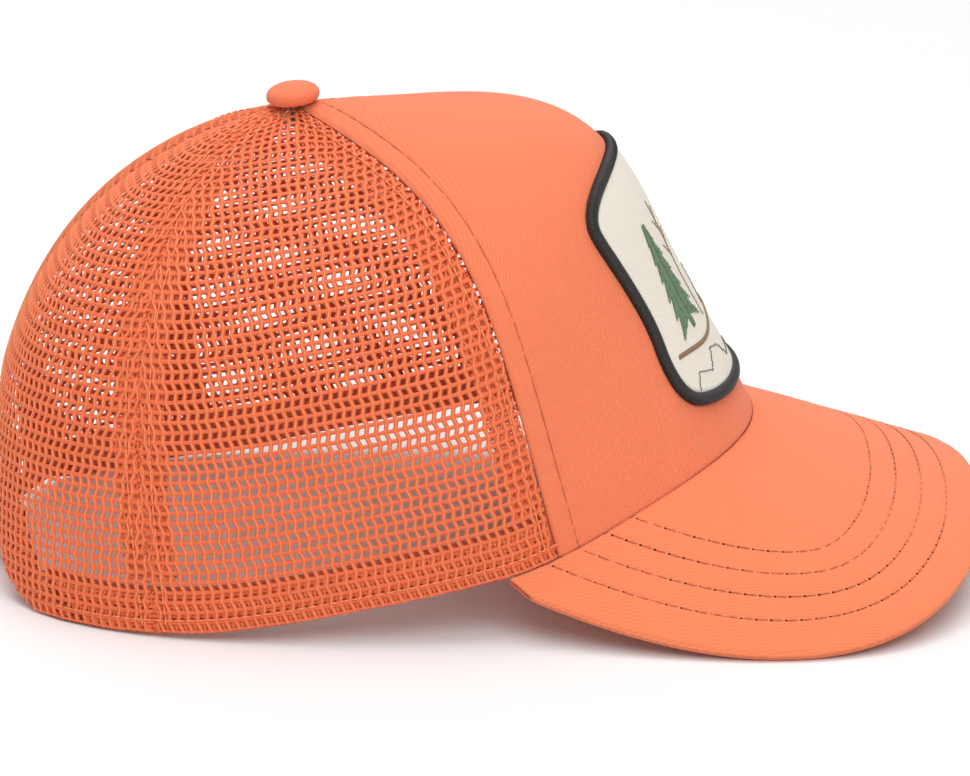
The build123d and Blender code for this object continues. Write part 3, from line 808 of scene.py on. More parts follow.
def satin_ribbon(name, colour):
    """Printed-label satin: smooth weft floats that shine across the ribbon."""
    material, tree, surface = new_material(name, roughness=0.38, sheen=0.2, ior=1.55)
    cloth = add_node(tree, "ShaderNodeUVMap", uv_map="cloth").outputs[0]
    floats = thread_lines(tree, cloth, 0.35, 0.0)
    tree.links.new(
        blended(tree, floats, linear(colour, 0.93), linear(colour, 1.03)), surface.inputs["Base Color"])
    bumped(tree, surface, floats, 0.03)
    return material


def foam_backed_scrim(name, colour):
    """Stiff buckram laminated to thin foam: an open square scrim pressed into a matt felted back."""
    material, tree, surface = new_material(name, roughness=0.95, sheen=0.05)
    cloth = add_node(tree, "ShaderNodeUVMap", uv_map="cloth").outputs[0]
    scrim = total(
        tree, product(tree, thread_lines(tree, cloth, 1.4, 0.0), 0.5),
        product(tree, thread_lines(tree, cloth, 1.4, 90.0), 0.5))
    felt = cloud(tree, cloth, 1.2, 4.0)
    tree.links.new(
        blended(tree, total(tree, product(tree, scrim, 0.6), product(tree, felt, 0.4)),
                linear(colour, 0.88), linear(colour, 1.06)), surface.inputs["Base Color"])
    bumped(tree, surface, scrim, 0.15)
    return material


def moulded_polyethylene(name, colour):
    """Injection-moulded polyethylene: waxy, with a fine spark-eroded grain and faint flow streaks."""
    material, tree, surface = new_material(name, roughness=0.42, ior=1.51)
    surface.inputs["Subsurface Weight"].default_value = 0.12
    surface.inputs["Subsurface Radius"].default_value = (0.004, 0.002, 0.001)
    surface.inputs["Subsurface Scale"].default_value = 0.5
    place = add_node(tree, "ShaderNodeTexCoord").outputs["Object"]
    flow = cloud(tree, place, 9.0)
    grain = cloud(tree, place, 0.5, 3.0)
    tree.links.new(
        blended(tree, flow, linear(colour, 0.94), linear(colour, 1.05)), surface.inputs["Base Color"])
    tree.links.new(between(tree, grain, 0.36, 0.5), surface.inputs["Roughness"])
    bumped(tree, surface, grain, 0.02)
    return material


def tinned_steel(name, colour):
    """Pressed tinned steel: bright but softly brushed by the press tool."""
    material, tree, surface = new_material(name, roughness=0.3)
    surface.inputs["Metallic"].default_value = 1.0
    place = add_node(tree, "ShaderNodeTexCoord").outputs["Object"]
    scuffs = cloud(tree, place, 0.8, 4.0)
    tree.links.new(between(tree, scuffs, 0.24, 0.42), surface.inputs["Roughness"])
    tree.links.new(
        blended(tree, scuffs, linear(colour, 0.85), linear(colour, 1.05)), surface.inputs["Base Color"])
    return material


def seamless_paper(name, colour):
    """Studio background paper: matt, almost white, with barely visible fibre."""
    material, tree, surface = new_material(name, roughness=0.95)
    place = add_node(tree, "ShaderNodeTexCoord").outputs["Object"]
    tree.links.new(
        blended(tree, cloud(tree, place, 30.0), linear(colour, 0.99), linear(colour, 1.0)),
        surface.inputs["Base Color"])
    return material


# ======================================================================================
# finishes of this cap
# ======================================================================================

front_twill = cotton_twill("front_cotton_twill", FRONT_CORAL)
visor_twill = cotton_twill("visor_cotton_twill", VISOR_CORAL, turn=8.0)
button_twill = cotton_twill("button_cotton_twill", FRONT_CORAL, spacing=0.6, turn=40.0, contrast=0.06)
# Lit and shaded copies of one knit yarn: painted shade on the flat ground, and a painted highlight on the
# raised ribs.
knit_ground_painted_shade = textured_polyester("knit_ground_yarn", MESH_GROUND_PAINTED_SHADE)
knit_rib_painted_light = textured_polyester("knit_rib_yarn", MESH_RIB_PAINTED_LIGHT, contrast=0.1)
seam_thread = spun_thread("rust_sewing_thread", THREAD_RUST)
needle_shadow = needle_hole("needle_hole_shadow", NEEDLE_DARK)
sweatband_twill = cotton_twill("sweatband_cotton_twill", SWEATBAND_RED, spacing=1.0, turn=60.0)
stiffener_scrim = foam_backed_scrim("front_buckram_and_foam", STIFFENER_PEACH)
label_satin = satin_ribbon("label_satin_ribbon", LABEL_WHITE)
badge_weave = woven_patch_ground("patch_woven_ground", PATCH_CREAM)
border_rayon = spun_thread("patch_border_rayon", BORDER_BLACK, contrast=0.4, roughness=0.5)
fir_rayon = spun_thread("fir_green_rayon", FIR_GREEN, contrast=0.35, roughness=0.45)
twig_rayon = spun_thread("twig_brown_rayon", TWIG_BROWN, roughness=0.45)
shore_rayon = spun_thread("shore_grey_rayon", SHORE_GREY, roughness=0.45)
strap_plastic = moulded_polyethylene("strap_polyethylene", STRAP_ORANGE)
board_plastic = moulded_polyethylene("visor_board_polyethylene", BOARD_WHITE)
button_steel = tinned_steel("button_tinned_steel", STEEL_GREY)
studio_paper = seamless_paper("studio_paper", FLOOR_WHITE)

knit_tree = build_knit_tree()
stitch_tree = build_stitch_tree()
fill_tree = build_fill_tree()


def finished(piece, material, slot, *nodes, body="cap"):
    """Gives a piece its material, body and the CAD nodes that it stands for; the slot is not used."""
    if material is not None:
        piece.data.materials.clear()
        piece.data.materials.append(material)
    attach(piece, body)
    if nodes:
        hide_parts(*nodes)
    return piece


# ======================================================================================
# stitches
# ======================================================================================

def thread_stitch(name, length, thickness, hole, rise=0.28):
    """A run stitch whose ends dive into the cloth, with the needle's hole at its start."""
    across = np.linspace(-0.5, 0.5, 7)
    path = np.stack([across * length, 0 * across, rise * (1 - (2 * across) ** 4) - 0.12], axis=1)
    width = thickness * (0.55 + 0.45 * (1 - (2 * across) ** 4))
    thread = strand(path, width, width * 0.8, sides=6)
    turn = 2 * pi * np.arange(8) / 8
    rim = np.stack([hole * np.cos(turn) - 0.58 * length, hole * 0.8 * np.sin(turn), 0 * turn], axis=1)
    ends = np.array([[-0.58 * length, 0, 0.09], [-0.58 * length, 0, -0.1]])
    cone = [(k, (k + 1) % 8, 8) for k in range(8)] + [((k + 1) % 8, k, 9) for k in range(8)]
    return repeated_shape(name, [(np.concatenate([rim, ends]), cone)], [thread])


def run_base(name, paths, outwards):
    """Base mesh of one or more open paths, with the cloth's outward direction on each point."""
    mesh = bpy.data.meshes.new(name)
    edges, start = [], 0
    for path in paths:
        edges += [(start + k, start + k + 1) for k in range(len(path) - 1)]
        start += len(path)
    mesh.from_pydata((np.concatenate(paths) * MM).tolist(), edges, [])
    way = mesh.attributes.new("outward", "FLOAT_VECTOR", "POINT")
    way.data.foreach_set("vector", np.concatenate(outwards).astype(np.float32).ravel())
    return mesh


def sewn(name, stitch, pitch, paths, outwards, slot, plain=None, raised=None):
    """Line of stitches along paths, as a piece on the cap."""
    piece = grown(name, run_base(name, paths, outwards), stitch_tree, Stitch=stitch, Pitch=pitch * MM,
                  Plain_material=plain or needle_shadow, Raised_material=raised or seam_thread)
    return finished(piece, None, slot)


# ======================================================================================
# front panel and its stiffener
# ======================================================================================

FRONT_TOPSTITCH = 6.0


def crown_cloth(name, half_angle, foot, top, depths, across, up, relief=None):
    """Cloth over the front of the crown, between the same angle to each side."""
    climb = foot + (top - foot) * np.linspace(0.0, 1.0, up)[None, :]
    share = np.linspace(-1.0, 1.0, across)[:, None]
    angle = share * half_angle(climb)
    climb = np.broadcast_to(climb, angle.shape)
    skin = crown_skin(angle, climb)
    run = np.cumsum(np.linalg.norm(np.diff(skin, axis=0, prepend=skin[:1]), axis=-1), axis=0)
    rise = np.cumsum(np.linalg.norm(np.diff(skin, axis=1, prepend=skin[:, :1]), axis=-1), axis=1)
    cloth = np.stack([run - run[across // 2], rise], axis=-1)
    from_seam = np.minimum(run, run[-1] - run)
    dip = relief(from_seam, rise, run) if relief else 0.0
    outer = crown(angle, climb, depths[0] + dip)
    inner = crown(angle, climb, depths[1] + np.minimum(dip, 0.6))
    piece = closed_cloth(name, outer, inner, cloth)
    return piece, (float(run[-1].max()), float(rise.max())), surface_area(skin)


def surface_area(grid):
    across = np.diff(grid, axis=0)[:, :-1]
    up = np.diff(grid, axis=1)[:-1]
    return float(np.linalg.norm(np.cross(across, up), axis=-1).sum())


def front_relief(from_seam, rise, run):
    """Turned edges, the sunk topstitch and the small puckers beside it."""
    turned = 0.6 * np.exp(-(from_seam / 0.8) ** 2) + 0.1 * np.exp(-(rise / 0.8) ** 2)
    sunk = 0.26 * np.exp(-((from_seam - FRONT_TOPSTITCH) / 0.55) ** 2)
    near = np.exp(-((from_seam - FRONT_TOPSTITCH) / 4.5) ** 2)
    puckers = 0.07 * near * np.sin(2 * pi * rise / 7.3 + 1.7 * np.sin(rise / 21.0))
    slack = 0.16 * np.sin(run / 17.0 + rise / 23.0) * np.sin(rise / 14.0 - run / 31.0)
    return turned + sunk + puckers + slack * smooth_step(from_seam / 12.0)


front_panel, front_cut, front_area = crown_cloth(
    "front_panel_twill", front_seam, 0.0, 0.975, (0.0, 0.7), 190, 170, front_relief)
finished(front_panel, front_twill, "front_cloth", "front_panel")
stiffener, stiffener_cut, stiffener_area = crown_cloth(
    "front_panel_stiffener", lambda t: front_seam(t) - 2.0, 0.015, BAND_TOP, (0.85, 1.4), 60, 60)
finished(stiffener, stiffener_scrim, "stiffener", "front_stiffener")


# ======================================================================================
# mesh panels and bands
# ======================================================================================


def knit_cell(name, wale, course, band, wall_width, plies=1):
    """Two rows of one wale: flat bands with rounded holes between, under a raised leaning rib."""
    left = -WALE_SWAY / 2
    lean = [left, -left, left]
    along = np.linspace(-0.5, 0.5, 4)
    plain, raised = [], []
    for ply in range(plies):
        below = np.array([0.5 * wale, 0.5 * course, -PLY_GAP]) * ply
        for row in range(2):
            path = np.stack([along * wale, 0 * along + row * course, 0 * along], axis=1)
            nearness = np.cos(2 * pi * (along - lean[row] / wale))
            plain.append(strand(path + below, band + 0.16 * nearness, STRAND_DEPTH, sides=6, capped=False))
            up = np.linspace(0.0, 1.0, 4)
            sway = lean[row] + (lean[row + 1] - lean[row]) * up
            wall = np.stack([sway, (row + up) * course, 0 * up], axis=1) + below
            bare = wall[[0, 3]] + (wall[3] - wall[0]) * np.array([[HIDDEN_SHARE], [-HIDDEN_SHARE]])
            plain.append(strand(bare, wall_width, WALL_DEPTH, sides=6, capped=False))
            rib = wall + np.array([0.0, 0.0, RIB_RISE])
            raised.append(strand(rib, RIB_WIDTH, RIB_WIDTH, sides=5, capped=False))
    return repeated_shape(name, plain, raised)


panel_cell = knit_cell("panel_knit_cell", WALE_PITCH, COURSE_PITCH, 0.72, 0.7)
band_cell = knit_cell("band_knit_cell", WALE_PITCH, COURSE_PITCH, 0.66, 0.62, plies=2)


def scaffold(name, skin, outward, run, rise, keep):
    """Base mesh for the knit: a grid with its flat map, outward direction and distance inside the edge."""
    rows, columns = skin.shape[:2]
    mesh = bpy.data.meshes.new(name)
    faces = grid_faces(rows, columns)
    mesh.from_pydata((skin.reshape(-1, 3) * MM).tolist(), [], faces)
    corners = np.zeros(len(mesh.loops), int)
    mesh.loops.foreach_get("vertex_index", corners)
    flat = np.stack([run / FLAT_SPAN + 0.5, rise / FLAT_SPAN + 0.1], axis=-1).reshape(-1, 2)
    mesh.uv_layers.new(name="flat").uv.foreach_set("vector", flat[corners].astype(np.float32).ravel())
    mesh.attributes.new("outward", "FLOAT_VECTOR", "POINT").data.foreach_set(
        "vector", outward.astype(np.float32).ravel())
    mesh.attributes.new("keep", "FLOAT", "POINT").data.foreach_set("value", keep.astype(np.float32).ravel())
    return mesh


def knitted(name, skin, outward, run, rise, keep, cell=None, shift=(0.0, 0.0), wander=0.35):
    """Piece of mesh cloth laid over a scaffold, with its cut size and flat area. A band is folded double."""
    inside = keep > 0
    low = np.array([run[inside].min(), rise[inside].min()])
    high = np.array([run[inside].max(), rise[inside].max()])
    columns = int((high[0] - low[0]) / WALE_PITCH) + 4
    rows = int((high[1] - low[1]) / (2 * COURSE_PITCH)) + 3
    start = np.array([
        (low[0] + high[0]) / 2 + shift[0],
        low[1] + (rows - 1) * COURSE_PITCH + shift[1]])
    across = np.linalg.norm(np.diff(skin, axis=0)[:, :-1], axis=-1)
    up = np.linalg.norm(np.diff(skin, axis=1)[:-1], axis=-1)
    area = float((across * up * (keep[:-1, :-1] > 0)).sum())
    base = scaffold(name, skin, outward, run, rise, keep)
    # The flat bands take the shaded copy of the yarn and the ribs take the lit copy: painted shade and a
    # painted highlight on one yarn.
    piece = grown(
        name, base, knit_tree, Cell=cell or panel_cell, Columns=columns, Rows=rows,
        Column_pitch=WALE_PITCH * MM, Row_pitch=2 * COURSE_PITCH * MM,
        Middle=(float(start[0]) * MM, float(start[1]) * MM, 0.0), Wander=wander * MM,
        Flat_span=FLAT_SPAN * MM, Plain_material=knit_ground_painted_shade, Raised_material=knit_rib_painted_light)
    piece.data.polygons.foreach_set("use_smooth", np.full(len(piece.data.polygons), True))
    plies = 2 if cell else 1
    cut = (plies * max(10.0, float(high[0] - low[0])), max(10.0, float(high[1] - low[1])))
    return piece, cut, plies * area


def panel_grid(angles, rises, depth):
    """Scaffold points of a crown panel: even angles across, even lengths up from the hem."""
    climb = climb_for(angles, rises)
    angle = np.broadcast_to(np.asarray(angles)[:, None], climb.shape)
    depth = depth(angle, climb) if callable(depth) else depth
    skin = crown(angle, climb, depth)
    run = np.cumsum(np.linalg.norm(np.diff(skin, axis=0, prepend=skin[:1]), axis=-1), axis=0)
    middle = run[len(angles) // 2]
    return angle, climb, skin, crown_outward(angle, climb), run - middle, np.broadcast_to(rises, climb.shape)


def from_seam(seam, angle, climb):
    return (angle - seam(climb)) * degree_length(angle, climb)


def turned_in(*distances):
    """Extra depth where a panel's edge turns in at a seam."""
    return sum(0.55 * np.exp(-(np.maximum(d, 0.0) / 0.9) ** 2) for d in distances)


KNIT_DEPTH = 0.34
KNIT_TOP = 0.98
BAND_DEPTH = 0.86


def side_depth(angle, climb):
    return KNIT_DEPTH + turned_in(from_seam(front_seam, angle, climb), -from_seam(side_seam, angle, climb))


def rear_depth(angle, climb):
    to_middle = (180 - angle) * degree_length(angle, climb)
    return KNIT_DEPTH + turned_in(from_seam(side_seam, angle, climb), to_middle)


def side_panel():
    angle, climb, skin, outward, run, rise = panel_grid(
        np.linspace(45.0, 143.0, 150), np.linspace(0.0, 205.0, 160), side_depth)
    keep = np.minimum.reduce([
        from_seam(front_seam, angle, climb) - 0.1, -from_seam(side_seam, angle, climb) - 0.1,
        (KNIT_TOP - climb) * 150.0])
    return knitted("side_mesh_knit_left", skin, outward, run, rise, keep, shift=(0.0, 0.45))


def rear_panel():
    angle, climb, skin, outward, run, rise = panel_grid(
        np.linspace(127.0, 180.0, 110), np.linspace(0.0, 205.0, 160), rear_depth)
    keep = np.minimum.reduce([
        from_seam(side_seam, angle, climb) - 0.1, (180.0 - angle) * degree_length(angle, climb) - 0.1,
        (KNIT_TOP - climb) * 150.0, beyond_arch(skin)])
    return knitted("rear_mesh_knit_left", skin, outward, run, rise, keep, shift=(0.0, 0.45))


def seam_band(name, low_angle, high_angle, keep_of):
    """Turned-in second layer of mesh beside a seam."""
    angle, climb, skin, outward, run, rise = panel_grid(
        np.linspace(low_angle, high_angle, 60), np.linspace(0.0, 205.0, 160), BAND_DEPTH)
    above = rise - (HEM_BAND_HEIGHT + 0.4)
    keep = np.minimum.reduce([keep_of(angle, climb, skin), above, (0.945 - climb) * 150.0])
    return knitted(name, skin, outward, run, rise, keep, band_cell, shift=(1.3, 1.6), wander=0.8)


def hem_band():
    """Turned-up hem: it starts round the fold under the outer layer and rises behind it."""
    turn = np.linspace(0.0, pi, 8)
    fold_depth = 0.6 - 0.26 * np.cos(turn)
    fold_rise = 0.5 - 0.4 * np.sin(turn)
    rises = np.concatenate([fold_rise, np.linspace(0.8, HEM_BAND_HEIGHT, 22)])
    depth = np.concatenate([fold_depth, np.full(22, BAND_DEPTH)])
    length = np.concatenate([0.4 * turn, 0.4 * pi + 0.3 + np.linspace(0.0, HEM_BAND_HEIGHT - 0.8, 22)])
    angles = np.linspace(front_seam(0.0) + 0.3, ARCH_FOOT_ANGLE + 4.0, 150)
    climb = climb_for(angles, rises)
    angle = np.broadcast_to(angles[:, None], climb.shape)
    skin = crown(angle, climb, depth[None, :])
    run = np.cumsum(np.linalg.norm(np.diff(skin, axis=0, prepend=skin[:1]), axis=-1), axis=0)
    run = np.broadcast_to(run[:, 8:9], climb.shape)
    length = np.broadcast_to(length, climb.shape)
    facing = crown_outward(angle, climb) * np.concatenate([np.cos(turn), np.full(22, 1.0)])[None, :, None]
    outward = crown_outward(angle, climb)
    keep = np.minimum.reduce([beyond_arch(skin, BAND_WIDTH), 1.0 + 0 * run])
    return knitted(
        "hem_band_knit_left", skin, outward, run - run[75], length, keep, band_cell, (1.3, 0.0), wander=0.4)


def arch_binding():
    """Doubled band that borders the rear arch, with its rows along the arch's edge."""
    steps = 150
    share = np.linspace(-1.0, 1.0, 2 * steps + 1)
    margins = np.linspace(0.0, BAND_WIDTH, 16)
    share, margin = np.meshgrid(share, margins, indexing="ij")
    height = (ARCH_HEIGHT + margin) * np.sin(pi / 2 * (1 - np.abs(share)))
    width = arch_half_width(height, margin) * np.sign(share + 1e-9)
    width = np.where(np.abs(share) < 1e-6, 0.0, width)
    around = 180.0 - np.degrees(np.arctan2(width, 112.0))
    angle, climb = find_on_crown(
        width, height, ((0, 1, 0), (0, 0, 1)), np.zeros(3), around, np.clip(height / 160.0, 0.0, 0.6))
    skin = crown(angle, climb, BAND_DEPTH)
    edge = skin[:, :1]
    run = np.cumsum(np.linalg.norm(np.diff(skin, axis=0, prepend=skin[:1]), axis=-1), axis=0)[:, 4:5]
    run = np.broadcast_to(run - run[steps], margin.shape)
    keep = np.minimum(1.0 + 0 * run, (skin[..., 2] - 0.15) * 2)
    return knitted(
        "arch_binding_knit", skin, crown_outward(angle, climb), run, margin, keep, band_cell, wander=0.3)


def both_sides(made, left_node, right_node):
    """A left piece and its mirrored twin."""
    piece, cut, area = made
    twin = mirrored(piece, piece.name.replace("left", "right"))
    for side, node in ((piece, left_node), (twin, right_node)):
        finished(side, None, "mesh", node)
    return piece


side_left = both_sides(side_panel(), "side_mesh_left", "side_mesh_right")
rear_left = both_sides(rear_panel(), "rear_mesh_left", "rear_mesh_right")
both_sides(
    seam_band("front_seam_band_knit_left", 44.0, 85.0, lambda a, c, p: np.minimum(
        from_seam(front_seam, a, c) - 0.4, BAND_WIDTH - from_seam(front_seam, a, c))),
    "front_seam_band_left", "front_seam_band_right")
both_sides(
    seam_band("side_seam_band_knit_left", 110.0, 158.0, lambda a, c, p: np.minimum(
        0.75 * BAND_WIDTH - np.abs(from_seam(side_seam, a, c)), beyond_arch(p, BAND_WIDTH))),
    "side_seam_band_left", "side_seam_band_right")
both_sides(hem_band(), "hem_band_left", "hem_band_right")
rear_band, rear_cut, rear_area = seam_band(
    "rear_seam_band_knit", 160.0, 200.0, lambda a, c, p: np.minimum(
        0.7 * BAND_WIDTH - np.abs(a - 180.0) * degree_length(a, c), beyond_arch(p, BAND_WIDTH)))
finished(rear_band, None, "mesh", "rear_seam_band")
binding, binding_cut, binding_area = arch_binding()
finished(binding, None, "mesh", "arch_binding")

# ======================================================================================
# sweatband and labels
# ======================================================================================


def inside_strip(name, start, end, low, high, depths, across, up, relief=None):
    """Cloth strip on the inside of the hem, between two angles and two heights."""
    angles = np.linspace(start, end, across)
    rises = np.linspace(low, high, up)
    climb = climb_for(angles, rises)
    angle = np.broadcast_to(angles[:, None], climb.shape)
    skin = crown(angle, climb, depths[0])
    run = np.cumsum(np.linalg.norm(np.diff(skin, axis=0, prepend=skin[:1]), axis=-1), axis=0)
    rise = np.broadcast_to(rises, climb.shape)
    swell = relief(run, rise) if relief else 0.0
    piece = closed_cloth(
        name, skin, crown(angle, climb, depths[1] + swell), np.stack([run, rise], axis=-1))
    return piece, (float(run[-1].max()), high - low), surface_area(skin)


def sweatband_swell(run, rise):
    """Soft roll along the band, flatter at its stitched edges."""
    across = rise / SWEATBAND_HEIGHT
    return 0.35 * np.sin(pi * np.clip(across, 0.0, 1.0)) + 0.08 * np.sin(run / 5.5) * np.sin(pi * across)


sweatband, sweat_cut, sweat_area = inside_strip(
    "sweatband_twill", -ARCH_FOOT_ANGLE + 1, ARCH_FOOT_ANGLE - 1, 0.3, SWEATBAND_HEIGHT, (1.6, 2.5),
    420, 14, sweatband_swell)
finished(sweatband, sweatband_twill, "sweatband_cloth", "sweatband")
for name, start, end, low, high in (
        ("care_label", -118.0, -100.0, 1.5, 11.5), ("size_label", -134.0, -124.0, 1.2, 11.4)):
    ribbon, ribbon_cut, ribbon_area = inside_strip(
        name + "_ribbon", start, end, low, high, (2.98, 3.22), 30, 12,
        lambda run, rise: 0.05 * np.sin(run / 2.1))
    finished(ribbon, label_satin, "label_cloth", name)

# ======================================================================================
# visor
# ======================================================================================

VISOR_SIDES = 330
VISOR_OUTS = 84


def visor_cover(name, under):
    """Cover of the visor, sunk along its stitch rows and turned over at the rim."""
    side = VISOR_END * np.linspace(-1.0, 1.0, VISOR_SIDES)[:, None]
    length = visor_length(side[:, 0])[:, None]
    share = np.linspace(0.0, 1.0, VISOR_OUTS)[None, :]
    out = 0.1 / length + (1 - 0.1 / length) * (1 - (1 - share) ** 1.15)
    side = np.broadcast_to(side, out.shape)
    to_rim = (1 - out) * length
    skin = visor_skin(side, out)
    inward = square_to_rim(skin)
    upward = visor_upward(side, out)
    closing = 1 - smooth_step(to_rim / RIM_CLOSING)
    rim_run = np.cumsum(np.linalg.norm(np.diff(rim_point(side[:, 0]), axis=0, prepend=rim_point(side[:1, 0])),
                                       axis=-1))[:, None]
    sunk = np.zeros_like(out)
    for row in STITCH_ROWS:
        quilted = 0.30 + 0.07 * np.sin(2 * pi * rim_run / 4.0 + row)
        sunk += quilted * np.exp(-((inward - row) / 0.7) ** 2)
    slack = 0.1 * np.sin(rim_run / 19.0 + to_rim / 7.0) * np.sin(to_rim / 11.0)
    relief = np.minimum(sunk + slack * (1 - closing), 0.5)
    if under:
        near, far = 2.5 + (1.55 - 2.5) * closing, 3.1 - 0.5 * closing - relief * 0.6
    else:
        near, far = 0.6 + (1.45 - 0.6) * closing, 0.5 * closing + relief * 0.9
    run = np.cumsum(np.linalg.norm(np.diff(skin, axis=0, prepend=skin[:1]), axis=-1), axis=0)
    cloth = np.stack([skin[..., 1], skin[..., 0]], axis=-1)
    shown = skin - upward * far[..., None]
    hidden = skin - upward * near[..., None]
    piece = closed_cloth(name, shown, hidden, cloth)
    return piece, (float(run[:, -1].max()) * 0.72, float(length.max()) * 1.35), surface_area(skin)


top_cover, top_cut, top_area = visor_cover("visor_top_cover_twill", under=False)
finished(top_cover, visor_twill, "visor_cloth", "visor_top_cover")
under_cover, under_cut, under_area = visor_cover("visor_under_cover_twill", under=True)
finished(under_cover, visor_twill, "visor_cloth", "visor_under_cover")
board = frame["nodes"]["visor_board"]
board.data.materials.clear()
board.data.materials.append(board_plastic)

visor_stitch = thread_stitch("visor_stitch", 3.0, 0.18, 0.44)
for row in STITCH_ROWS:
    sides, outs = visor_row(row)
    lift = visor_upward(sides, outs)
    surface = visor_skin(sides, outs)
    label = f"visor_stitch_row_{STITCH_ROWS.index(row) + 1}"
    sewn(label, visor_stitch, 4.0, [surface - lift * 0.24], [lift], "visor_cloth")
    sewn(label + "_under", visor_stitch, 4.0, [surface - lift * 2.92], [-lift], "visor_cloth")

# ======================================================================================
# topstitching on the crown
# ======================================================================================

seam_stitch = thread_stitch("seam_stitch", 2.6, 0.17, 0.2, rise=0.24)
mesh_stitch = thread_stitch("mesh_stitch", 2.8, 0.22, 0.05, rise=0.34)


def crown_run(angles, climbs, depth):
    return crown(angles, climbs, depth), crown_outward(angles, climbs)


def beside_seam(seam, distance, low, high, depth, count=260):
    """Line that keeps a distance to one side of a seam."""
    climbs = np.linspace(low, high, count)
    angles = seam(climbs) + distance / degree_length(seam(climbs), climbs)
    return crown_run(angles, climbs, depth)


def flipped(path, outward):
    turn = np.array([1.0, -1.0, 1.0])
    return path * turn, outward * turn


line = beside_seam(front_seam, -FRONT_TOPSTITCH, 0.01, 0.93, 0.2)
twin = flipped(*line)
sewn("front_topstitch", seam_stitch, 3.0, [line[0], twin[0]], [line[1], twin[1]], "front_cloth")
mesh_lines = [
    beside_seam(front_seam, 3.4, 0.03, 0.9, 0.05), beside_seam(side_seam, -3.4, 0.02, 0.9, 0.05),
    beside_seam(side_seam, 3.4, 0.02, 0.9, 0.05)]
hem_angles = np.linspace(front_seam(0.0) + 0.5, ARCH_FOOT_ANGLE - 4.0, 400)
hem_climbs = climb_for(hem_angles, np.array([3.8]))[:, 0]
mesh_lines.append(crown_run(hem_angles, hem_climbs, 0.05))
mesh_lines += [flipped(*run) for run in mesh_lines]
# The mesh topstitch takes the same lit and shaded copies of the knit yarn: a painted highlight on the thread,
# and painted shade in its holes.
sewn("mesh_topstitch", mesh_stitch, 3.0, [run[0] for run in mesh_lines], [run[1] for run in mesh_lines],
     "mesh", plain=knit_ground_painted_shade, raised=knit_rib_painted_light)

# ======================================================================================
# button
# ======================================================================================


def spun(name, radii, heights, turns, wave=None):
    """Closed shape spun on the button's axis, from a profile that starts and ends on the axis."""
    turn = 2 * pi * np.arange(turns)[:, None] / turns
    radii, heights = np.broadcast_arrays(np.asarray(radii)[None, :], np.asarray(heights)[None, :])
    radii = radii + (wave(turn, radii, heights) if wave else 0.0)
    x, y, z = radii * np.cos(turn), radii * np.sin(turn), np.broadcast_to(heights, radii.shape)
    top = crown_skin(0.0, 1.0) + np.array([BUTTON_FORWARD, 0.0, 0.0])
    across = np.array([cos(BUTTON_TILT), 0, sin(BUTTON_TILT)])
    axis = np.array([-sin(BUTTON_TILT), 0, cos(BUTTON_TILT)])
    points = top + x[..., None] * across + y[..., None] * np.array([0, 1.0, 0]) + z[..., None] * axis
    cloth = np.stack([radii * np.cos(turn), radii * np.sin(turn) + z * 0.6], axis=-1).reshape(-1, 2) * MM
    mesh = new_mesh(name, points.reshape(-1, 3), grid_faces(turns, radii.shape[1], closed=True), cloth)
    close_up(mesh, 1e-6)
    return new_object(name, mesh)


def button_pleats(turn, radius, height):
    """Gathers where the cloth is pulled round the button's edge."""
    low = smooth_step((2.6 - height) / 2.4) * smooth_step((radius - 5.0) / 2.0)
    return 0.08 * low * np.sin(16 * turn + 1.3 * np.sin(3 * turn))


lid = np.linspace(0.0, 1.0, 22)
dome_radii = BUTTON_RADIUS * np.sin(pi / 2 * lid) ** 0.9
dome_heights = 0.1 + BUTTON_HEIGHT * (0.34 + 0.66 * np.cos(pi / 2 * lid) ** 0.85)
skirt = np.linspace(0.0, 1.0, 8)[1:]
skirt_radii = BUTTON_RADIUS * (1 - 0.14 * skirt ** 2)
skirt_heights = 0.1 + BUTTON_HEIGHT * 0.34 * (1 - skirt)
hollow = np.linspace(1.0, 0.0, 14)
inner_radii = (BUTTON_RADIUS * 0.86 - 0.6) * np.sin(pi / 2 * hollow) ** 0.8
inner_heights = 0.1 + (BUTTON_HEIGHT - 0.6) * np.cos(pi / 2 * hollow) ** 0.7
button = spun(
    "button_cover_twill",
    np.concatenate([dome_radii, skirt_radii, inner_radii]),
    np.concatenate([dome_heights, skirt_heights, inner_heights]), 96, button_pleats)
finished(button, button_twill, "front_cloth", "button_cover")
for name in ("button_shell", "button_washer"):
    node = frame["nodes"][name]
    node.data.materials.clear()
    node.data.materials.append(button_steel)

# ======================================================================================
# patch
# ======================================================================================


def patch_curve(scale=1.0, count=240):
    """Closed smooth outline of the patch on its own plane."""
    right = np.array(PATCH_OUTLINE, float)
    loop = np.concatenate([right, right[-2:0:-1] * np.array([-1.0, 1.0])])
    closed = np.concatenate([loop[-3:], loop, loop[:4]])
    points = []
    for k in range(len(loop)):
        a, b, c, d = closed[k + 2], closed[k + 3], closed[k + 4], closed[k + 5]
        t = np.linspace(0.0, 1.0, 24, endpoint=False)[:, None]
        points.append(0.5 * (2 * b + (c - a) * t + (2 * a - 5 * b + 4 * c - d) * t ** 2
                             + (3 * b - a - 3 * c + d) * t ** 3))
    points = np.concatenate(points)
    run = np.concatenate([[0.0], np.cumsum(np.linalg.norm(np.diff(
        np.concatenate([points, points[:1]]), axis=0), axis=1))])
    even = np.linspace(0.0, run[-1], count, endpoint=False)
    ring = np.concatenate([points, points[:1]])
    return np.stack([np.interp(even, run, ring[:, k]) for k in (0, 1)], axis=1) * scale


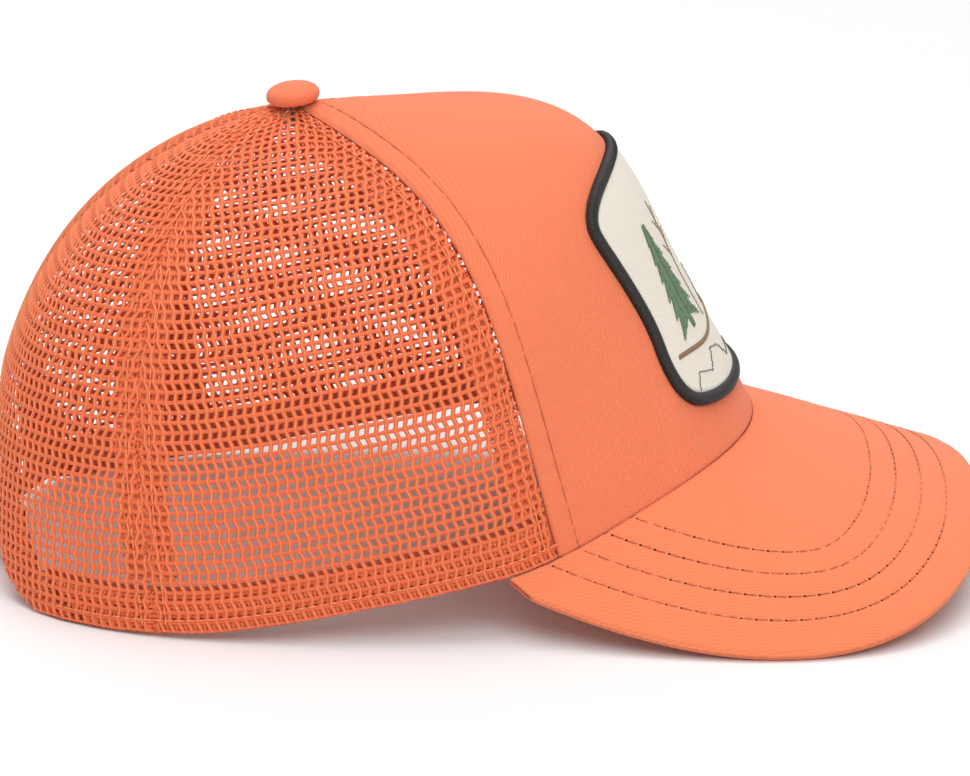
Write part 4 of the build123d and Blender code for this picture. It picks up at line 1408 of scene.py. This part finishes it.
def patch_ground():
    """Woven ground of the patch: rings from the middle to the border."""
    outline = patch_curve(1 - (PATCH_BORDER_WIDTH - 0.4) / PATCH_HALF_SIZE, 200)
    shares = np.linspace(0.0, 1.0, 26)
    flat = outline[:, None] * shares[None, :, None]
    upper, _ = on_face(flat[..., 0], flat[..., 1], 1.1)
    lower, _ = on_face(flat[..., 0], flat[..., 1], 0.12)
    points = np.concatenate([upper.reshape(-1, 3), lower.reshape(-1, 3)])
    count = upper.shape[0] * upper.shape[1]
    faces = grid_faces(200, 26, closed=True)
    back = [tuple(v + count for v in reversed(f)) for f in faces]
    edge = [k * 26 + 25 for k in range(200)]
    wall = [(edge[k], edge[(k + 1) % 200], edge[(k + 1) % 200] + count, edge[k] + count) for k in range(200)]
    cloth = np.concatenate([flat.reshape(-1, 2)] * 2) * MM
    mesh = new_mesh("patch_woven_ground", points, faces + back + wall, cloth)
    close_up(mesh, 1e-7)
    area = float(0.5 * abs(np.sum(outline[:, 0] * np.roll(outline[:, 1], -1)
                                  - outline[:, 1] * np.roll(outline[:, 0], -1))))
    return new_object("patch_woven_ground", mesh), area


patch_base, patch_area = patch_ground()
finished(patch_base, badge_weave, "patch_cloth", "patch_base")

# ---- overlocked border: thread wraps over a padded core ----
mid_line = patch_curve(1 - 0.5 * PATCH_BORDER_WIDTH / PATCH_HALF_SIZE, 480)
mid_line = np.concatenate([mid_line, mid_line[:1]])
border_path, border_out = on_face(mid_line[:, 0], mid_line[:, 1], 0.15)
half = PATCH_BORDER_WIDTH / 2 + 0.15
bow = np.linspace(-1.0, 1.0, 9)
wrap_path = np.stack([0.22 * bow, half * np.sin(pi / 2 * bow), 1.9 * np.cos(pi / 2 * bow) ** 0.55], axis=1)
wrap = strand(wrap_path, 0.3, 0.24, sides=5, side=(1.0, 0.0, 0.0))
border_wrap = repeated_shape("border_wrap", [wrap], [])
border = grown("patch_border_threads", run_base("patch_border_threads", [border_path], [border_out]),
               stitch_tree, Stitch=border_wrap, Pitch=0.52 * MM,
               Plain_material=border_rayon, Raised_material=border_rayon)
core_turn = np.linspace(0.0, 2 * pi, 12, endpoint=False)
sideways = unit(np.cross(border_out, np.gradient(border_path, axis=0)))
ring = (border_path[:-1, None] + sideways[:-1, None] * (half - 0.15) * np.cos(core_turn)[None, :, None]
        + border_out[:-1, None] * (0.72 + 0.95 * np.sin(core_turn))[None, :, None])
ring = np.concatenate([ring, ring[:, :1]], axis=1)
core_mesh = new_mesh("patch_border_core", ring.reshape(-1, 3), grid_faces(480, 13, closed=True))
core = new_object("patch_border_core", core_mesh)
finished(border, None, "border_thread", "patch_border")
finished(core, border_rayon, "border_thread")

# ---- embroidery: a fir tree in satin stitch, and run-stitched ground lines ----
satin_path = np.stack([np.linspace(-0.5, 0.5, 5), np.zeros(5), [-0.05, 0.16, 0.22, 0.16, -0.05]], axis=1)
satin_stitch = repeated_shape("satin_stitch", [strand(satin_path, [0.1, 0.2, 0.22, 0.2, 0.1], 0.14)], [])


def satin_base(name, starts, ends, proud):
    """Base mesh of one point for each satin stitch, from its two ends on the patch's plane."""
    a, outward = on_face(starts[:, 0], starts[:, 1], proud)
    b, _ = on_face(ends[:, 0], ends[:, 1], proud)
    mesh = bpy.data.meshes.new(name)
    mesh.from_pydata(((a + b) / 2 * MM).tolist(), [], [])
    mesh.attributes.new("outward", "FLOAT_VECTOR", "POINT").data.foreach_set(
        "vector", outward.astype(np.float32).ravel())
    mesh.attributes.new("row_along", "FLOAT_VECTOR", "POINT").data.foreach_set(
        "vector", (b - a).astype(np.float32).ravel())
    return mesh


def fir_stitches():
    """Drooping branches on both sides of a leaning trunk line, ragged at their ends."""
    dice = np.random.default_rng(7)
    starts, ends = [], []
    for level in np.arange(0.0, 1.0, 0.0135):
        height = -8.0 + 28.0 * level
        tier = (level * 6.0) % 1.0
        reach = 7.6 * (1 - level) ** 0.85 * (1.0 - 0.42 * tier) + 0.5
        for way in (-1.0, 1.0):
            inner = 0.0
            while inner < reach - 0.3:
                outer = min(reach, inner + dice.uniform(2.0, 3.4))
                droop = 0.45
                jitter = dice.uniform(-0.16, 0.16, 2)
                starts.append((-17.0 + way * inner, height - droop * inner + jitter[0]))
                ends.append((-17.0 + way * (outer + 0.3), height - droop * (outer + 0.3) + jitter[1]))
                inner = outer
    for k in range(9):
        starts.append((-17.0 - 0.8 + 0.2 * k, -12.0))
        ends.append((-17.0 - 0.8 + 0.2 * k, -8.6))
    return np.array(starts), np.array(ends)


fir_starts, fir_ends = fir_stitches()
fir = grown("patch_fir_tree_satin", satin_base("patch_fir_tree_satin", fir_starts, fir_ends, 1.22), fill_tree,
            Stitch=satin_stitch, Plain_material=fir_rayon, Raised_material=fir_rayon)
finished(fir, None, "green_thread", "patch_fir_tree")
hill_x = np.arange(-31.0, 31.0, 0.34)
hill_y = -14.5 + 2.2 * np.sin(hill_x / 8.0)
hill = grown(
    "patch_hill_line_satin",
    satin_base("patch_hill_line_satin", np.stack([hill_x - 0.25, hill_y - 1.15], 1),
               np.stack([hill_x + 0.25, hill_y - 0.05], 1), 1.18), fill_tree,
    Stitch=satin_stitch, Plain_material=twig_rayon, Raised_material=twig_rayon)
finished(hill, None, "brown_thread", "patch_hill_line")

line_stitch = repeated_shape("line_stitch", [strand(
    np.stack([np.linspace(-0.62, 0.62, 5), np.zeros(5), [-0.08, 0.12, 0.16, 0.12, -0.08]], axis=1),
    [0.07, 0.13, 0.14, 0.13, 0.07], 0.13)], [])


def drawn_line(points, ragged=0.0, seed=1):
    """Fine points along a polyline on the patch's plane, with a hand-drawn waver."""
    dice = np.random.default_rng(seed)
    points = np.array(points, float)
    run = np.concatenate([[0.0], np.cumsum(np.linalg.norm(np.diff(points, axis=0), axis=1))])
    even = np.arange(0.0, run[-1], 1.0)
    line = np.stack([np.interp(even, run, points[:, k]) for k in (0, 1)], axis=1)
    line += dice.normal(0.0, 1.0, line.shape) * ragged
    path, outward = on_face(line[:, 0], line[:, 1], 1.16)
    return path, outward


def embroidered(name, pitch, material, slot, lines):
    piece = grown(name, run_base(name, [p for p, _ in lines], [o for _, o in lines]), stitch_tree,
                  Stitch=line_stitch, Pitch=pitch * MM, Plain_material=material, Raised_material=material)
    return finished(piece, None, slot)


shore = [
    (-30.5, -24.0), (-26.0, -21.5), (-21.0, -24.5), (-15.0, -20.0), (-9.0, -22.5), (-4.0, -27.5),
    (4.0, -25.0), (10.0, -29.0), (19.0, -25.5), (27.0, -27.5), (32.0, -23.0)]
embroidered("patch_shore_line", 1.15, shore_rayon, "border_thread", [drawn_line(shore, 0.22, 3)])
branches = [
    [(-6.0, -13.0), (-6.5, 0.0), (-5.5, 12.0), (-6.0, 22.0)],
    [(-6.2, 6.0), (-9.5, 10.0)], [(-5.8, 9.0), (-2.5, 13.5)], [(-5.7, 13.0), (-9.0, 17.5)],
    [(-5.8, 16.0), (-3.0, 20.0)]]
embroidered("patch_bare_birch", 1.15, twig_rayon, "brown_thread", [drawn_line(b, 0.1, 5) for b in branches])
ridge = [(2.0, -12.0), (9.0, -2.0), (13.0, -5.0), (21.0, 6.0), (26.0, 0.0), (31.0, -8.0)]
embroidered("patch_far_ridge", 1.15, shore_rayon, "border_thread", [drawn_line(ridge, 0.15, 8)])

# ======================================================================================
# closure straps
# ======================================================================================


def flat_strap(start, end, holes):
    """Flat strip with round holes along its middle and a rounded far end: quads round each hole."""
    low, high = STRAP_BOTTOM, STRAP_TOP
    middle = (low + high) / 2
    tall = (high - low) / 2
    arc = radians(1.0) * STRAP_RADIUS
    pitch = PEG_PITCH_ANGLE
    cells = [(h - pitch / 2, h + pitch / 2, True) for h in holes]
    left, right = min(c[0] for c in cells), max(c[1] for c in cells)
    for a, b in ((min(start, end), left), (right, max(start, end))):
        pieces = max(1, int(round(abs(b - a) / 2.4)))
        edges = np.linspace(a, b, pieces + 1)
        cells += [(edges[k], edges[k + 1], False) for k in range(pieces) if edges[k + 1] - edges[k] > 0.05]
    points, faces = [], []
    for a, b, hole in cells:
        box = []
        for k in range(6):
            box.append((a + (b - a) * k / 6, middle - tall))
        for k in range(6):
            box.append((b, middle - tall + 2 * tall * k / 6))
        for k in range(6):
            box.append((b - (b - a) * k / 6, middle + tall))
        for k in range(6):
            box.append((a, middle + tall - 2 * tall * k / 6))
        box = np.array(box)
        centre = np.array([(a + b) / 2, middle])
        turn = np.arctan2((box[:, 1] - middle) / tall, (box[:, 0] - centre[0]) / ((b - a) / 2))
        circle = centre + HOLE_RADIUS * np.stack([np.cos(turn) / arc, np.sin(turn)], axis=1)
        rings = [1.0, 0.55, 0.18, 0.0] if hole else [1.0, 0.5, 0.02]
        base = sum(len(p) for p in points)
        for share in rings:
            inner = circle if hole else centre[None, :]
            points.append(inner + (box - inner) * share)
        for r in range(len(rings) - 1):
            for k in range(24):
                m = (k + 1) % 24
                near = base + r * 24
                far = near + 24
                faces.append((near + k, near + m, far + m, far + k))
        if not hole:
            faces.append(tuple(base + (len(rings) - 1) * 24 + k for k in range(24)))
    return np.concatenate(points), faces


def strap(name, outer_radius, start, end, holes, pegs):
    """Moulded strap bent to the hem's arc: rounded tip, thinned hinge line, holes or snap pegs."""
    flat, faces = flat_strap(start, end, holes)
    tip = end
    middle = (STRAP_BOTTOM + STRAP_TOP) / 2
    tall = (STRAP_TOP - STRAP_BOTTOM) / 2
    arc = radians(1.0) * STRAP_RADIUS
    from_tip = np.abs(flat[:, 0] - tip) * arc
    narrowing = np.sqrt(np.clip(1 - ((6.0 - from_tip) / 6.0) ** 2 * 0.45, 0.0, 1.0))
    round_off = np.where(from_tip < 6.0, narrowing, 1.0)
    flat[:, 1] = middle + (flat[:, 1] - middle) * round_off
    mid = outer_radius - STRAP_THICKNESS / 2
    a = np.radians(flat[:, 0])
    points = np.stack([STRAP_AXIS_X - mid * np.cos(a), mid * np.sin(a), flat[:, 1]], axis=1)
    mesh = new_mesh(name, points, faces, smooth=False)
    close_up(mesh, 2e-5)
    body = new_object(name, mesh)
    thick = body.modifiers.new("wall", "SOLIDIFY")
    thick.thickness = STRAP_THICKNESS * MM
    thick.offset = 0.0
    rounded = body.modifiers.new("edges", "BEVEL")
    rounded.width = 0.22 * MM
    rounded.segments = 2
    rounded.limit_method = "ANGLE"
    rounded.angle_limit = radians(50)
    mesh = bpy.data.meshes.new_from_object(body.evaluated_get(bpy.context.evaluated_depsgraph_get()))
    body.modifiers.clear()
    count = len(mesh.vertices)
    co = np.zeros(count * 3)
    mesh.vertices.foreach_get("co", co)
    co = co.reshape(-1, 3) / MM
    turned = np.degrees(np.arctan2(co[:, 1], -(co[:, 0] - STRAP_AXIS_X)))
    radius = np.hypot(co[:, 0] - STRAP_AXIS_X, co[:, 1])
    hinge = 0.62 * np.exp(-((np.abs(turned) - HINGE_ANGLE) * arc / 0.75) ** 2)
    radius = mid + (radius - mid) * (1 - hinge)
    co[:, 0] = STRAP_AXIS_X - radius * np.cos(np.radians(turned))
    co[:, 1] = radius * np.sin(np.radians(turned))
    parts = [(co, [tuple(p.vertices) for p in mesh.polygons])]
    for angle in pegs:
        parts.append(snap_peg(angle, outer_radius))
    points, faces = joined(parts)
    solid = new_mesh(name, points, faces)
    body.data = solid
    return body


def snap_peg(angle, outer_radius):
    """Mushroom-headed snap peg that points straight out of the strap."""
    head = PEG_HEIGHT - np.array([0.9, 0.7, 0.25, 0.0, 0.0])
    heights = np.concatenate([[-0.5, 0.0, 0.25], head])
    radii = np.array([1.45, 1.45, 1.3, 1.3, PEG_RADIUS, PEG_RADIUS - 0.05, PEG_RADIUS - 0.55, 0.0])
    turn = 2 * pi * np.arange(24) / 24
    a = radians(angle)
    outward = np.array([-cos(a), sin(a), 0.0])
    sideways = np.array([sin(a), cos(a), 0.0])
    centre = np.array([STRAP_AXIS_X, 0.0, (STRAP_BOTTOM + STRAP_TOP) / 2]) + outward * outer_radius
    rings = (centre + outward * heights[:, None, None]
             + (sideways * np.cos(turn)[:, None] + np.array([0, 0, 1.0]) * np.sin(turn)[:, None])[None]
             * radii[:, None, None])
    points = rings.reshape(-1, 3)
    faces = []
    for i in range(len(heights) - 1):
        for k in range(24):
            m = (k + 1) % 24
            faces.append((i * 24 + k, (i + 1) * 24 + k, (i + 1) * 24 + m, i * 24 + m))
    faces.append(tuple(range(24)))
    return points, faces


def hinge_line(angle, radius, spread):
    """Points in the frame just before and after a hinge, for the bend between two bodies."""
    ends = []
    for a in (radians(angle + spread), radians(angle - spread)):
        ends.append(((STRAP_AXIS_X - radius * cos(a)) * MM, radius * sin(a) * MM, 0.012))
    return ends


peg_angles = [((PEGS_ENGAGED - 1) / 2 - k) * PEG_PITCH_ANGLE for k in range(PEG_COUNT)]
stud_radius = STRAP_RADIUS - STRAP_THICKNESS - STRAP_GAP
hole_strap = strap("hole_strap_moulded", STRAP_RADIUS, TAB_END_ANGLE, -STRAP_TIP_ANGLE,
                   [-a for a in peg_angles], [])
stud_strap = strap("stud_strap_moulded", stud_radius, -TAB_END_ANGLE, STRAP_TIP_ANGLE,
                   peg_angles, peg_angles)
for piece, node, sign, radius in (
        (hole_strap, "hole_strap", 1.0, STRAP_RADIUS), (stud_strap, "stud_strap", -1.0, stud_radius)):
    piece.data.materials.append(strap_plastic)
    start, end = hinge_line(sign * HINGE_ANGLE, radius - STRAP_THICKNESS / 2, sign * 0.45)
    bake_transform(piece, "cap", node, start=start, end=end)
    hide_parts(node, node + "_tab")

# ======================================================================================
# studio
# ======================================================================================

FLOOR_REACH = 9000
floor_corners = [(x * FLOOR_REACH, y * FLOOR_REACH, 0) for x, y in ((-1, -1), (1, -1), (1, 1), (-1, 1))]
floor_mesh = new_mesh("studio_floor", floor_corners, [(0, 1, 2, 3)], smooth=False)
floor = new_object("studio_floor", floor_mesh)
floor.data.materials.append(studio_paper)
floor.location.z = -0.0002
floor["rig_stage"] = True


def softbox(name, place, aim, size, power):
    light = bpy.data.lights.new(name, "AREA")
    light.shape = "RECTANGLE"
    light.size, light.size_y = size
    light.energy = power
    lamp = bpy.data.objects.new(name, light)
    lamp.location = place
    lamp.rotation_euler = (Vector(aim) - Vector(place)).to_track_quat("-Z", "Y").to_euler()
    bpy.context.scene.collection.objects.link(lamp)


softbox("key_softbox", (0.35, -1.3, 1.5), (0, 0, 0.05), (1.4, 1.2), 15.0)
softbox("top_softbox", (-0.1, 0.15, 2.2), (0, 0, 0.05), (1.9, 1.7), 27.0)
softbox("back_softbox", (-0.6, 1.5, 0.9), (0, 0, 0.06), (1.2, 1.0), 5.0)
world = bpy.data.worlds.new("studio_world")
world.use_nodes = True
world.node_tree.nodes["Background"].inputs["Color"].default_value = (1.0, 1.0, 1.0, 1.0)
world.node_tree.nodes["Background"].inputs["Strength"].default_value = 0.42
bpy.context.scene.world = world
bpy.context.scene.view_settings.view_transform = "Standard"

camera_data = bpy.data.cameras.new("photo_camera")
camera_data.lens = 194.8
camera_data.sensor_width = 36.0
camera = bpy.data.objects.new("photo_camera", camera_data)
camera_aim = Vector((0.0007, 0.0, 0.0456))
camera_distance = 1.455
camera_lift = radians(18.6)
camera.location = camera_aim + camera_distance * Vector((0.0, -cos(camera_lift), sin(camera_lift)))
camera.rotation_euler = (camera_aim - camera.location).to_track_quat("-Z", "Y").to_euler()
bpy.context.scene.collection.objects.link(camera)
bpy.context.scene.camera = camera

for shape in [o for o in bpy.context.scene.objects if o.name.endswith(("_cell", "_stitch", "_wrap"))
              and o.hide_render and "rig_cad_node" not in o]:
    bpy.data.objects.remove(shape)

low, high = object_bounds()
